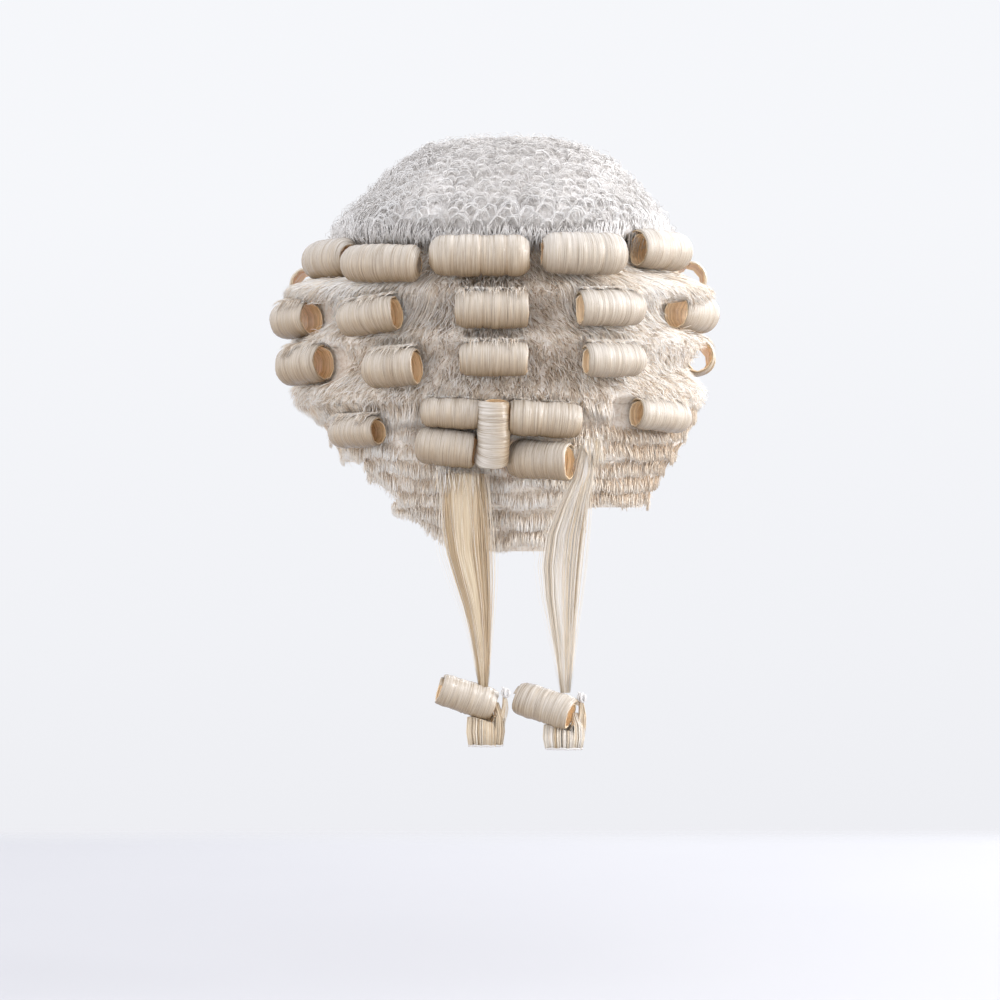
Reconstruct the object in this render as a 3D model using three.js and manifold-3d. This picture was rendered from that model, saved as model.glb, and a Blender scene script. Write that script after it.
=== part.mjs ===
// Barrister's tie wig of white horsehair, made hollow to go on a head.
// Frame: millimetres, +Z up. The origin is the point inside the crown that the top of the
// wearer's head touches. The wearer faces -Y, so the back of the wig faces +Y, and the
// wearer's left is +X. Azimuth is the angle about Z from the back (0) towards the wearer's left (+90).
import * as THREE from "three";
import Module from "manifold-3d";

const wasm = await Module();
wasm.setup();

// ---------- driving dimensions, mm ----------
const DOME_DEPTH = 78; // from the top of the head down to its widest level
const DOME_POWER = 2.4; // roundness of the head form seen from behind
const PLAN_POWER = 2.7; // roundness of the head form seen from above
const SIDE_FORM = 79; // half breadth of the head form at its widest
const LONG_FORM = 95; // half length of the head form at its widest
const CAP_WALL = 2.2; // woven foundation that everything is sewn to
const SEAT = 3.1; // where the frizz starts, off the head form
const GAP = 0.4; // clearance left between neighbouring pieces
const CROWN_RIM = -49; // lower edge of the crown
const EDGE_AZ = 117; // front edge of the side pieces
const AZ_STEP = 12;
const CURL_WALL = 1.8; // thickness of the rolled lock of hair
const CURL_TURNS = 1.14; // how far each lock is rolled on itself

// Head form below the dome: half breadth, and half length behind the ears' line
const FORM = [
  { z: -78, side: 79, back: 95 },
  { z: -110, side: 78, back: 95 },
  { z: -136, side: 75, back: 91 },
  { z: -158, side: 70, back: 85 },
  { z: -182, side: 62, back: 78 },
  { z: -207, side: 55, back: 72 },
];

// Outer face of the frizzed crown, from the top down. It sits a little to the wearer's right.
const CROWN = [
  { z: 15.5, side: 0, back: 0, front: 0, x: -3.6 },
  { z: 14.6, side: 17, back: 19, front: 18, x: -3.6 },
  { z: 12.0, side: 34, back: 38, front: 36, x: -3.6 },
  { z: 7.5, side: 46, back: 53, front: 50, x: -3.6 },
  { z: 1.0, side: 57, back: 67, front: 63, x: -3.6 },
  { z: -8, side: 66.5, back: 80, front: 75, x: -3.6 },
  { z: -18, side: 75.5, back: 92, front: 86, x: -3.2 },
  { z: -28, side: 85, back: 103, front: 95, x: -2.2 },
  { z: -38, side: 91, back: 110, front: 103, x: -0.8 },
  { z: -45, side: 91, back: 110, front: 107 },
  { z: -49, side: 87, back: 106, front: 105 },
];

// Tiers of cut frizz below the crown, each hemmed lower and wider than it starts, like a
// shingle. top and bottom are heights, from and to the end azimuths. Waist is how far the
// tier stands off the head form above, and hem how far at its cut edge: at the back, at the
// wearer's left and at the wearer's right. Courses is how many cut layers its depth holds.
// At the sides a single course flares between the parts flare and full of its depth, and rise
// is how far a cut edge climbs towards the wearer's left end, from the azimuth riseFrom.
const TIERS = [
  { name: "frizz_tier_1", top: -50.0, bottom: -75.0, from: -117, to: 117, courses: 1, waist: 12.5, hem: 21, leftWaist: 13, leftHem: 33, rightWaist: 13, rightHem: 32, flare: 0.35, full: 0.75 },
  { name: "frizz_tier_2", top: -75.6, bottom: -99.5, from: -117, to: 117, courses: 1, waist: 15, hem: 21, leftWaist: 23, leftHem: 30, rightWaist: 22, rightHem: 29, flare: 0.5, full: 0.8 },
  { name: "frizz_tier_3", top: -100.1, bottom: -128.5, from: -117, to: 117, courses: 1, waist: 15, hem: 20, leftWaist: 22, leftHem: 31, rightWaist: 21, rightHem: 30, flare: 0.4, full: 0.7 },
  { name: "frizz_tier_4", top: -129.1, bottom: -157.0, from: -76, to: 74, courses: 3, waist: 14, hem: 17, leftWaist: 24, leftHem: 12.5, rightWaist: 30, rightHem: 21 },
  { name: "frizz_tier_5", top: -157.6, bottom: -180.5, from: -64, to: 45, courses: 3, waist: 14, hem: 14, leftWaist: 13, leftHem: 12, rightWaist: 20, rightHem: 17, rise: 13, riseFrom: 28 },
  { name: "nape_fringe", top: -181.1, bottom: -202.5, from: -29, to: 38, courses: 2, waist: 11, hem: 10.5, leftWaist: 11, leftHem: 10.5, rightWaist: 11, rightHem: 10.5, rise: 12, riseFrom: 18 },
];
const COURSE_STEP = 3.5; // how far the next cut layer starts inside the hem of the one above

// Rows of rolled curls. az and z place the middle of the roll, off is its axis above the head
// form, tilt raises its +azimuth end, and turn swings it about the vertical.
const CURLS = [
  { name: "curl_row1_centre", az: 4.7, z: -58, length: 48, dia: 21, off: 25, tilt: 0, turn: 0 },
  { name: "curl_row1_left_1", az: 28, z: -61, length: 40.5, dia: 19.4, off: 25.5, tilt: 1.8, turn: 0 },
  { name: "curl_row1_left_2", az: 52.5, z: -55.5, length: 38, dia: 21.4, off: 17.5, tilt: 1.4, turn: 6 },
  { name: "curl_row1_left_3", az: 96.5, z: -63.5, length: 38, dia: 19, off: 23.5, tilt: 0, turn: 0 },
  { name: "curl_row1_right_1", az: -19.4, z: -56.5, length: 41, dia: 21, off: 26, tilt: 0, turn: 0 },
  { name: "curl_row1_right_2", az: -46.5, z: -51.7, length: 32.4, dia: 20.3, off: 20, tilt: 1, turn: -14 },
  { name: "curl_row1_right_3", az: -86, z: -61.5, length: 38, dia: 19, off: 21, tilt: 0, turn: 0 },
  { name: "curl_row2_centre", az: 2.0, z: -84.3, length: 35, dia: 19.5, off: 24, tilt: 0, turn: 0 },
  { name: "curl_row2_left_1", az: 31.0, z: -86.7, length: 29.5, dia: 18.7, off: 24, tilt: -5, turn: 0 },
  { name: "curl_row2_left_2", az: 61.5, z: -85, length: 23, dia: 19.8, off: 29.5, tilt: -3, turn: 32 },
  { name: "curl_row2_left_3", az: 95, z: -86, length: 36, dia: 19.5, off: 24, tilt: 0, turn: 0 },
  { name: "curl_row2_right_1", az: -25.9, z: -83, length: 32.6, dia: 18.6, off: 24, tilt: -1.6, turn: 3 },
  { name: "curl_row2_right_2", az: -62.3, z: -81.5, length: 23.5, dia: 20.4, off: 23, tilt: 3, turn: -30 },
  { name: "curl_row2_right_3", az: -97, z: -81, length: 34, dia: 18.6, off: 23, tilt: 0, turn: 0 },
  { name: "curl_row3_centre", az: 1.5, z: -108.4, length: 32.6, dia: 18, off: 24, tilt: 0, turn: 0 },
  { name: "curl_row3_left_1", az: 25.3, z: -112.4, length: 25.5, dia: 19.8, off: 24, tilt: -2, turn: -4 },
  { name: "curl_row3_left_2", az: 55.9, z: -108.6, length: 24.5, dia: 20.8, off: 28.3, tilt: -3.5, turn: 31 },
  { name: "curl_row3_left_3", az: 92, z: -109, length: 34, dia: 19.5, off: 24, tilt: 0, turn: 0 },
  { name: "curl_row3_right_1", az: -27.0, z: -108.4, length: 29.2, dia: 17.4, off: 24, tilt: -1, turn: 0 },
  { name: "curl_row3_right_2", az: -80.8, z: -102, length: 27, dia: 20, off: 24.5, tilt: 0, turn: 0 },
  { name: "curl_row3_right_3", az: -104, z: -102, length: 27, dia: 17.5, off: 29, tilt: 0, turn: 0 },
  { name: "curl_row4_left", az: 40.0, z: -143.2, length: 31.6, dia: 16.5, off: 21, tilt: -0.5, turn: 0 },
  { name: "curl_row4_right", az: -45.2, z: -134.7, length: 32.5, dia: 17, off: 22.4, tilt: 4, turn: -14 },
  { name: "curl_nape_upper_left", az: 12.3, z: -134.8, length: 28, dia: 14.6, off: 22, tilt: 2.6, turn: 0 },
  { name: "curl_nape_lower_left", az: 13.9, z: -151.4, length: 27.8, dia: 17.4, off: 22, tilt: 7, turn: 0 },
  { name: "curl_nape_upper_right", az: -11.0, z: -137.7, length: 33.7, dia: 17.4, off: 22, tilt: 3.5, turn: 0 },
  { name: "curl_nape_lower_right", az: -10.8, z: -157.6, length: 30.3, dia: 18.8, off: 22.2, tilt: 3.8, turn: -34 },
];

// The upright roll between the four nape curls
const UPRIGHT = { name: "curl_nape_upright", x: 2.9, off: 25.5, top: -128.6, bottom: -159.5, dia: 13.4 };

// The two queues, tied at the foot: centre line and width from the root down
const TAILS = [
  {
    name: "queue_left",
    thick: 4.5,
    rows: [
      { z: -164, x: 18.0, y: 104.5, width: 20 },
      { z: -178, x: 17.5, y: 103.0, width: 22 },
      { z: -201, x: 16.5, y: 100.0, width: 21 },
      { z: -226, x: 11.5, y: 98.0, width: 13 },
      { z: -250, x: 9.0, y: 97.0, width: 7.5 },
      { z: -269.5, x: 8.2, y: 97.0, width: 4.4 },
    ],
  },
  {
    name: "queue_right",
    thick: 4.5,
    rows: [
      { z: -150, x: -43.2, y: 110.0, width: 7 },
      { z: -164, x: -42.6, y: 107.5, width: 7.5 },
      { z: -172, x: -39.0, y: 105.0, width: 10 },
      { z: -182, x: -34.5, y: 102.0, width: 15 },
      { z: -201, x: -30.5, y: 99.0, width: 20 },
      { z: -226, x: -30.5, y: 98.0, width: 15 },
      { z: -250, x: -31.8, y: 97.0, width: 9 },
      { z: -272.5, x: -32.4, y: 97.0, width: 4.6 },
    ],
  },
];

// Each queue ends in a roll, a bound knot beside it, and the short brush of its own cut ends
const QUEUE_ENDS = [
  { side: "left", x: 16.6, y: 97, z: -274.9, length: 29, dia: 16.6, drop: -18, turn: 6, knotX: -2.8, knotZ: -272.4, brushX: 7.0, brushTop: -281, brushBottom: -299.5, brushWidth: 18.8 },
  { side: "right", x: -21.8, y: 97, z: -279.1, length: 30, dia: 17.6, drop: -15.4, turn: -20, knotX: -40.4, knotZ: -274.8, brushX: -31.7, brushTop: -286, brushBottom: -301, brushWidth: 20.4 },
];

// ---------- small helpers ----------
const rad = THREE.MathUtils.degToRad;
const lerp = THREE.MathUtils.lerp;

// One row read from a table between its rows, by its column z
function at(table, z, columns) {
  const found = {};
  let i = 0;
  while (i < table.length - 2 && z < table[i + 1].z) i++;
  const [p, q] = [table[i], table[i + 1]];
  const t = THREE.MathUtils.clamp((p.z - z) / (p.z - q.z), 0, 1);
  for (const c of columns) found[c] = lerp(p[c], q[c], t);
  return found;
}

// Half breadth and half length of the head form at a height
function form(z) {
  if (z >= -DOME_DEPTH) {
    const rise = 1 - Math.min(1, Math.max(0, -z) / DOME_DEPTH);
    const f = Math.pow(1 - Math.pow(rise, DOME_POWER), 1 / DOME_POWER);
    return { side: SIDE_FORM * f, back: LONG_FORM * f };
  }
  return at(FORM, z, ["side", "back"]);
}

// A point on an oval of the given half axes, in the direction az
function oval(side, long, az, z) {
  const s = Math.sin(rad(az)), c = Math.cos(rad(az));
  const r = Math.pow(
    Math.pow(Math.abs(s) / side, PLAN_POWER) + Math.pow(Math.abs(c) / long, PLAN_POWER),
    -1 / PLAN_POWER,
  );
  return new THREE.Vector3(r * s, r * c, z);
}

// A point off the head form by a distance
function offForm(z, off, az) {
  const f = form(z);
  return oval(f.side + off, f.back + off, az, z);
}

// Azimuths of a band, on the same steps for every band so that their facets run parallel
function azimuths(from, to) {
  const inside = [];
  for (let a = Math.ceil(from / AZ_STEP + 0.25) * AZ_STEP; a < to - AZ_STEP / 4; a += AZ_STEP) inside.push(a);
  return [from, ...inside, to];
}

function geometryOf(points, faces) {
  const g = new THREE.BufferGeometry();
  g.setAttribute("position", new THREE.Float32BufferAttribute(points.flatMap((p) => [p.x, p.y, p.z]), 3));
  g.setIndex(faces.flat());
  return g;
}

// A closed section carried through rings of points, capped at both ends.
// outline gives the section in a plane, for its end caps.
function loft(rings, outline) {
  const n = rings[0].length;
  const faces = [];
  for (let i = 0; i + 1 < rings.length; i++)
    for (let j = 0; j < n; j++) {
      const a = i * n + j, b = i * n + ((j + 1) % n), c = a + n, d = b + n;
      faces.push([a, b, d], [a, d, c]);
    }
  const last = (rings.length - 1) * n;
  // The end caps are triangulated anticlockwise, so a clockwise section takes them the other way
  const turned = THREE.ShapeUtils.area(outline) < 0;
  for (const [p, q, r] of THREE.ShapeUtils.triangulateShape([...outline], [])) {
    faces.push(turned ? [p, q, r] : [r, q, p]);
    faces.push(turned ? [last + r, last + q, last + p] : [last + p, last + q, last + r]);
  }
  return geometryOf(rings.flat(), faces);
}

function solidOf(geometry) {
  return new wasm.Manifold(
    new wasm.Mesh({
      numProp: 3,
      vertProperties: new Float32Array(geometry.getAttribute("position").array),
      triVerts: new Uint32Array(geometry.getIndex().array),
    }),
  );
}

// The solid the right way out, whichever way its section ran
function outward(geometry) {
  const s = solidOf(geometry);
  if (s.volume() > 0) return s;
  const i = geometry.getIndex().array;
  for (let k = 0; k < i.length; k += 3) [i[k + 1], i[k + 2]] = [i[k + 2], i[k + 1]];
  return solidOf(geometry);
}

function biggest(solid) {
  return solid.decompose().reduce((a, b) => (a.volume() > b.volume() ? a : b));
}

function geometryFrom(solid) {
  const m = solid.getMesh();
  const g = new THREE.BufferGeometry();
  const n = m.numProp, v = new Float32Array(m.numVert * 3);
  for (let i = 0; i < m.numVert; i++) v.set(m.vertProperties.subarray(i * n, i * n + 3), i * 3);
  g.setAttribute("position", new THREE.BufferAttribute(v, 3));
  g.setIndex(new THREE.BufferAttribute(new Uint32Array(m.triVerts), 1));
  return g;
}

// ---------- shells ----------
// A domed shell: outer and inner faces by height, closed round the rim
function domeShell(outerRows, innerRows) {
  const az = Array.from({ length: 360 / AZ_STEP }, (_, i) => i * AZ_STEP);
  const points = [], faces = [], n = az.length;
  const ringOf = (r) =>
    az.map((a) => {
      const p = oval(r.side, Math.abs(a - 180) < 90 ? r.front : r.back, a, r.z);
      p.x += r.x ?? 0;
      return p;
    });
  const ring = (r) => {
    const start = points.length;
    points.push(...ringOf(r));
    return start;
  };
  const join = (p, q) => {
    for (let j = 0; j < n; j++) {
      const k = (j + 1) % n;
      faces.push([p + j, q + j, q + k], [p + j, q + k, p + k]);
    }
  };
  points.push(new THREE.Vector3(outerRows[0].x ?? 0, 0, outerRows[0].z));
  let above = ring(outerRows[1]);
  for (let j = 0; j < n; j++) faces.push([0, above + j, above + ((j + 1) % n)]);
  const rest = [...outerRows.slice(2), ...innerRows.slice(1).reverse()];
  for (const r of rest) {
    const next = ring(r);
    join(above, next);
    above = next;
  }
  const apex = points.length;
  points.push(new THREE.Vector3(0, 0, innerRows[0].z));
  for (let j = 0; j < n; j++) faces.push([above + j, apex, above + ((j + 1) % n)]);
  return outward(geometryOf(points, faces));
}

// Rows of the dome off the head form, spaced closer near the top
function formRows(off, lift, rim, count) {
  const rows = [{ z: lift, side: 0, back: 0, front: 0 }];
  for (let i = 1; i <= count; i++) {
    const z = rim * Math.pow(i / count, 1.7);
    const f = form(z);
    rows.push({
      z: z + lift * Math.pow(1 - i / count, 0.7),
      side: f.side + off,
      back: f.back + off,
      front: f.back + off,
    });
  }
  return rows;
}

// A band round the sides and back, its section given at each azimuth as [off, z] corners
function band(from, to, sectionAt) {
  const azs = azimuths(from, to);
  const rings = azs.map((a) => sectionAt(a).map(([off, z]) => offForm(z, off, a)));
  const outline = sectionAt(azs[0]).map(([off, z]) => new THREE.Vector2(off, z));
  return outward(loft(rings, outline));
}

// ---------- rolled locks ----------
// The section of a rolled lock: a strip wound on itself, from its root at startDeg
function rollSection(dia, startDeg, turns, wall = CURL_WALL) {
  const steps = Math.round(13 * turns);
  const outer = [], inner = [];
  for (let i = 0; i <= steps; i++) {
    const t = i / steps;
    const a = rad(startDeg - 360 * turns * t);
    const r = dia / 2 - (wall + 1.0) * turns * t * t;
    outer.push(new THREE.Vector2(r * Math.cos(a), r * Math.sin(a)));
    inner.push(new THREE.Vector2((r - wall) * Math.cos(a), (r - wall) * Math.sin(a)));
  }
  return [...outer, ...inner.reverse()];
}

// A section carried along a centre line; across and up are its axes at each point
function sweep(stations, section) {
  const rings = stations.map(({ p, across, up }) =>
    section.map((q) => p.clone().addScaledVector(across, q.x).addScaledVector(up, q.y)),
  );
  return outward(loft(rings, section));
}

// Centre line of a curl that follows the head form round
function curlStations(c, extra = 0, steps = 2) {
  const fine = [];
  for (let d = -40; d <= 40; d += 1) fine.push(offForm(c.z, c.off, c.az + d));
  const along = [0];
  for (let i = 1; i < fine.length; i++) along.push(along[i - 1] + fine[i].distanceTo(fine[i - 1]));
  const middle = along[40];
  const pointAt = (s) => {
    const t = s + middle;
    let i = 1;
    while (i < along.length - 1 && along[i] < t) i++;
    return fine[i - 1].clone().lerp(fine[i], (t - along[i - 1]) / (along[i] - along[i - 1]));
  };
  const centre = pointAt(0);
  const half = c.length / 2 + extra;
  const up = new THREE.Vector3(0, 0, 1);
  const points = Array.from({ length: steps + 1 }, (_, i) => {
    const s = lerp(-half, half, i / steps);
    const p = pointAt(s).sub(centre).applyAxisAngle(up, rad(c.turn)).add(centre);
    p.z = c.z + s * Math.tan(rad(c.tilt));
    return p;
  });
  return points.map((p, i) => {
    const tangent = points[Math.min(i + 1, steps)].clone().sub(points[Math.max(i - 1, 0)]).normalize();
    const across = up.clone().cross(tangent).normalize();
    return { p, across, up: tangent.clone().cross(across) };
  });
}

function circle(r, n = 12) {
  return Array.from({ length: n }, (_, i) => {
    const a = rad((360 * i) / n);
    return new THREE.Vector2(r * Math.cos(a), r * Math.sin(a));
  });
}

function curl(c) {
  return sweep(curlStations(c), rollSection(c.dia, 128, CURL_TURNS));
}

// The space that a curl takes up, with its clearance: neighbours are cut back from it
function room(c) {
  return sweep(curlStations(c, 0.7), circle(c.dia / 2 + 0.6));
}

function uprightStations(u, extra = 0) {
  const up = new THREE.Vector3(1, 0, 0), across = new THREE.Vector3(0, 1, 0);
  return [0, 0.5, 1].map((t) => {
    const z = lerp(u.top + extra, u.bottom - extra, t);
    return { p: new THREE.Vector3(u.x, form(z).back + u.off, z), across, up };
  });
}

// A straight roll about a centre, sloping by drop and swung by turn
function endStations(e, extra = 0) {
  const dir = new THREE.Vector3(Math.cos(rad(e.drop)), 0, -Math.sin(rad(e.drop)));
  dir.applyAxisAngle(new THREE.Vector3(0, 0, 1), rad(e.turn));
  const across = new THREE.Vector3(0, 0, 1).cross(dir).normalize();
  const up = dir.clone().cross(across);
  const half = e.length / 2 + extra;
  return [-half, half].map((s) => ({
    p: new THREE.Vector3(e.x, e.y, e.z).addScaledVector(dir, s), across, up,
  }));
}

// ---------- queues and their ends ----------
function queue(t) {
  const stations = t.rows.map((r) => ({
    rings: Array.from({ length: 10 }, (_, i) => {
      const a = rad(36 * i);
      return new THREE.Vector3(
        r.x + (r.width / 2) * Math.cos(a),
        r.y + (Math.min(t.thick, r.width) / 2) * Math.sin(a),
        r.z,
      );
    }),
  }));
  return outward(loft(stations.map((s) => s.rings), circle(1, 10)));
}

// The cut ends below the roll: a short brush, flattened, fullest at its middle
function brush(e) {
  const rows = [
    { t: 0, grow: 0.8 },
    { t: 0.35, grow: 1.0 },
    { t: 0.8, grow: 0.98 },
    { t: 1, grow: 0.9 },
  ];
  const rings = rows.map((r) =>
    Array.from({ length: 12 }, (_, i) => {
      const a = rad(30 * i);
      return new THREE.Vector3(
        e.brushX + (e.brushWidth / 2) * r.grow * Math.cos(a),
        e.y + 4.8 * r.grow * Math.sin(a),
        lerp(e.brushTop, e.brushBottom, r.t),
      );
    }),
  );
  return outward(loft(rings, circle(1, 12)));
}

// ---------- assembly ----------
const COLOURS = {
  frizz: { color: 0xcfc8bf, roughness: 0.85, metalness: 0 },
  curl: { color: 0xdccfb4, roughness: 0.5, metalness: 0 },
  queue: { color: 0xe0d2b0, roughness: 0.5, metalness: 0 },
  net: { color: 0xb9b0a2, roughness: 0.9, metalness: 0 },
  thread: { color: 0xe8e6df, roughness: 0.8, metalness: 0 },
};
const root = new THREE.Group();
function add(name, solid, look) {
  const mesh = new THREE.Mesh(geometryFrom(biggest(solid)), new THREE.MeshStandardMaterial(COLOURS[look]));
  mesh.name = name;
  root.add(mesh);
}

const curls = CURLS.map((c) => ({ name: c.name, solid: curl(c), room: room(c) }));
curls.push({
  name: UPRIGHT.name,
  solid: sweep(uprightStations(UPRIGHT), rollSection(UPRIGHT.dia, 160, CURL_TURNS, 1.5)),
  room: sweep(uprightStations(UPRIGHT, 0.6), circle(UPRIGHT.dia / 2 + 0.6)),
});
const rooms = curls.map((c) => c.room).reduce((a, b) => a.add(b));

// Foundation: the dome, and the flap that hangs from it round the sides and back
const HEM = [
  { az: 0, z: -195 }, { az: 24, z: -193 }, { az: 28, z: -178 }, { az: 43, z: -174 }, { az: 44.5, z: -154 },
  { az: 70, z: -150 }, { az: 73, z: -126 }, { az: 117, z: -122 },
];
function hemAt(az) {
  const a = Math.abs(az);
  let i = 0;
  while (i < HEM.length - 2 && a > HEM[i + 1].az) i++;
  return lerp(HEM[i].z, HEM[i + 1].z, THREE.MathUtils.clamp((a - HEM[i].az) / (HEM[i + 1].az - HEM[i].az), 0, 1));
}
const dome = domeShell(formRows(CAP_WALL, CAP_WALL, CROWN_RIM, 8), formRows(0, 0, CROWN_RIM, 8));
const flap = band(-EDGE_AZ + 1, EDGE_AZ - 1, (a) => {
  const foot = hemAt(a);
  const zs = [0, 0.12, 0.24, 0.4, 0.56, 0.7, 0.85, 1].map((t) => lerp(-47, foot, t));
  return [...zs.map((z) => [CAP_WALL, z]), ...zs.reverse().map((z) => [0, z])];
});
add("foundation_cap", dome.add(flap), "net");

const crownInner = formRows(SEAT, SEAT, CROWN_RIM, 8);
add("crown_frizz", domeShell(CROWN, crownInner).subtract(rooms), "frizz");

for (const t of TIERS) {
  const solid = band(t.from, t.to, (a) => {
    const side = THREE.MathUtils.smoothstep(Math.abs(a), 22, 66);
    const front = THREE.MathUtils.smoothstep(Math.abs(a), 96, EDGE_AZ);
    const waist = lerp(t.waist, a > 0 ? t.leftWaist : t.rightWaist, side);
    const hem = lerp(lerp(t.hem, a > 0 ? t.leftHem : t.rightHem, side), waist + 2, front);
    const bottom = t.bottom + (t.rise ? t.rise * THREE.MathUtils.smoothstep(a, t.riseFrom, t.to) : 0);
    const outer = [];
    for (let i = 0; i < t.courses; i++) {
      const [z0, z1] = [i, i + 1].map((k) => lerp(t.top, bottom, k / t.courses));
      if (t.courses === 1) {
        const flare = lerp(z0, z1, lerp(0.5, t.flare, side)), full = lerp(z1 + 3.2, lerp(z0, z1, t.full), side);
        outer.push([waist - 2.5, z0], [waist - 0.8, lerp(z0, flare, 0.4)], [waist, flare], [hem, full], [hem - 1, z1]);
      } else {
        const w = lerp(waist, hem, (i + 0.75) / t.courses);
        outer.push([w - COURSE_STEP, z0], [w, lerp(z0, z1, 0.72)], [w - 0.7, z1]);
      }
    }
    const inner = [0, 0.5, 1].map((k) => [SEAT, lerp(bottom, t.top, k)]);
    return [...outer, ...inner];
  });
  add(t.name, solid.subtract(rooms), "frizz");
}

for (const c of curls) add(c.name, c.solid, "curl");

const rolled = QUEUE_ENDS.map((e) => sweep(endStations(e, 0.6), circle(e.dia / 2 + 0.5, 16)));
TAILS.forEach((t, i) => add(t.name, queue(t).subtract(rolled[i]).subtract(rooms), "queue"));
QUEUE_ENDS.forEach((e, i) => {
  add("queue_curl_" + e.side, sweep(endStations(e), rollSection(e.dia, 100, CURL_TURNS, 1.7)), "curl");
  const knot = new THREE.SphereGeometry(2.6, 10, 6).toNonIndexed();
  knot.rotateX(Math.PI / 2);
  const mesh = new THREE.Mesh(knot, new THREE.MeshStandardMaterial(COLOURS.thread));
  mesh.position.set(e.knotX, e.y + 3, e.knotZ);
  mesh.name = "queue_knot_" + e.side;
  root.add(mesh);
  add("queue_brush_" + e.side, brush(e).subtract(rolled[i]), "queue");
});

export default root;
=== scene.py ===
"""A barrister's wig in white horsehair: its hair, light and camera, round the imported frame.

Everything is worked out in millimetres and written to the meshes in metres. The frame is the
model's own: +Z up, the origin at the top of the head inside the crown, the back towards +Y and
the wearer's left +X. Azimuth (az) is in degrees about Z, from the back towards +X.
"""

import math

import bpy
import numpy as np
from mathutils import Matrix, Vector


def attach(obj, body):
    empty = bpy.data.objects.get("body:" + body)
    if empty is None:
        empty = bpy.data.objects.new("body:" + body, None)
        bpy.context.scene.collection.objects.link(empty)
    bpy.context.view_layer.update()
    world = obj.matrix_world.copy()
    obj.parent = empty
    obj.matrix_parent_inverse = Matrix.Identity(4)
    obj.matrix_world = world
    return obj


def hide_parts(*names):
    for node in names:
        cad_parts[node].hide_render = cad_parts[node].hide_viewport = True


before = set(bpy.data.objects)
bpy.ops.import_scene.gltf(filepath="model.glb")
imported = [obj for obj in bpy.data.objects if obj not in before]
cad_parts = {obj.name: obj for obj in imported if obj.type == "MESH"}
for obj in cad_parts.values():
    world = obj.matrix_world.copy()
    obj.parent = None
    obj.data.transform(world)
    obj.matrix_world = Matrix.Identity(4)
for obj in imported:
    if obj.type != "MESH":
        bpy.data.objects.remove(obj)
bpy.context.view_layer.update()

# ---------- sizes, as in the solids ----------
PLAN_POWER = 2.7
DOME_DEPTH, DOME_POWER = 78.0, 2.4
FORM_Z = [78, 110, 136, 158, 182, 207]  # depth below the top of the head
FORM_SIDE = [79, 78, 75, 70, 62, 55]
FORM_BACK = [95, 95, 91, 85, 78, 72]
CAP_WALL = 2.2
SEAT = 3.1
EDGE_AZ = 117.0

CROWN = np.array(  # z, side, back, front, x
    [
        (15.5, 0, 0, 0, -3.6),
        (14.6, 17, 19, 18, -3.6),
        (12.0, 34, 38, 36, -3.6),
        (7.5, 46, 53, 50, -3.6),
        (1.0, 57, 67, 63, -3.6),
        (-8, 66.5, 80, 75, -3.6),
        (-18, 75.5, 92, 86, -3.2),
        (-28, 85, 103, 95, -2.2),
        (-38, 91, 110, 103, -0.8),
        (-45, 91, 110, 107, 0),
        (-49, 87, 106, 105, 0),
    ],
    float,
)
CROWN_RUN = np.r_[0, np.cumsum(np.hypot(np.diff(CROWN[:, 0]), np.diff(CROWN[:, 2])))]

TIER_COLUMNS = (
    "top bottom from to courses waist hem leftWaist leftHem rightWaist rightHem flare full rise riseFrom".split()
)
TIERS = {
    "frizz_tier_1": (-50.0, -75.0, -117, 117, 1, 12.5, 21, 13, 33, 13, 32, 0.35, 0.75, 0, 0),
    "frizz_tier_2": (-75.6, -99.5, -117, 117, 1, 15, 21, 23, 30, 22, 29, 0.5, 0.8, 0, 0),
    "frizz_tier_3": (-100.1, -128.5, -117, 117, 1, 15, 20, 22, 31, 21, 30, 0.4, 0.7, 0, 0),
    "frizz_tier_4": (-129.1, -157.0, -76, 74, 3, 14, 17, 24, 12.5, 30, 21, 0, 0, 0, 0),
    "frizz_tier_5": (-157.6, -180.5, -64, 45, 3, 14, 14, 13, 12, 20, 17, 0, 0, 13, 28),
    "nape_fringe": (-181.1, -202.5, -29, 38, 2, 11, 10.5, 11, 10.5, 11, 10.5, 0, 0, 12, 18),
}
TIERS = {k: dict(zip(TIER_COLUMNS, v)) for k, v in TIERS.items()}
TIERS["nape_fringe"].update(rise=19, riseFrom=10)  # its hair is cut to a longer slant than its solid

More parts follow.
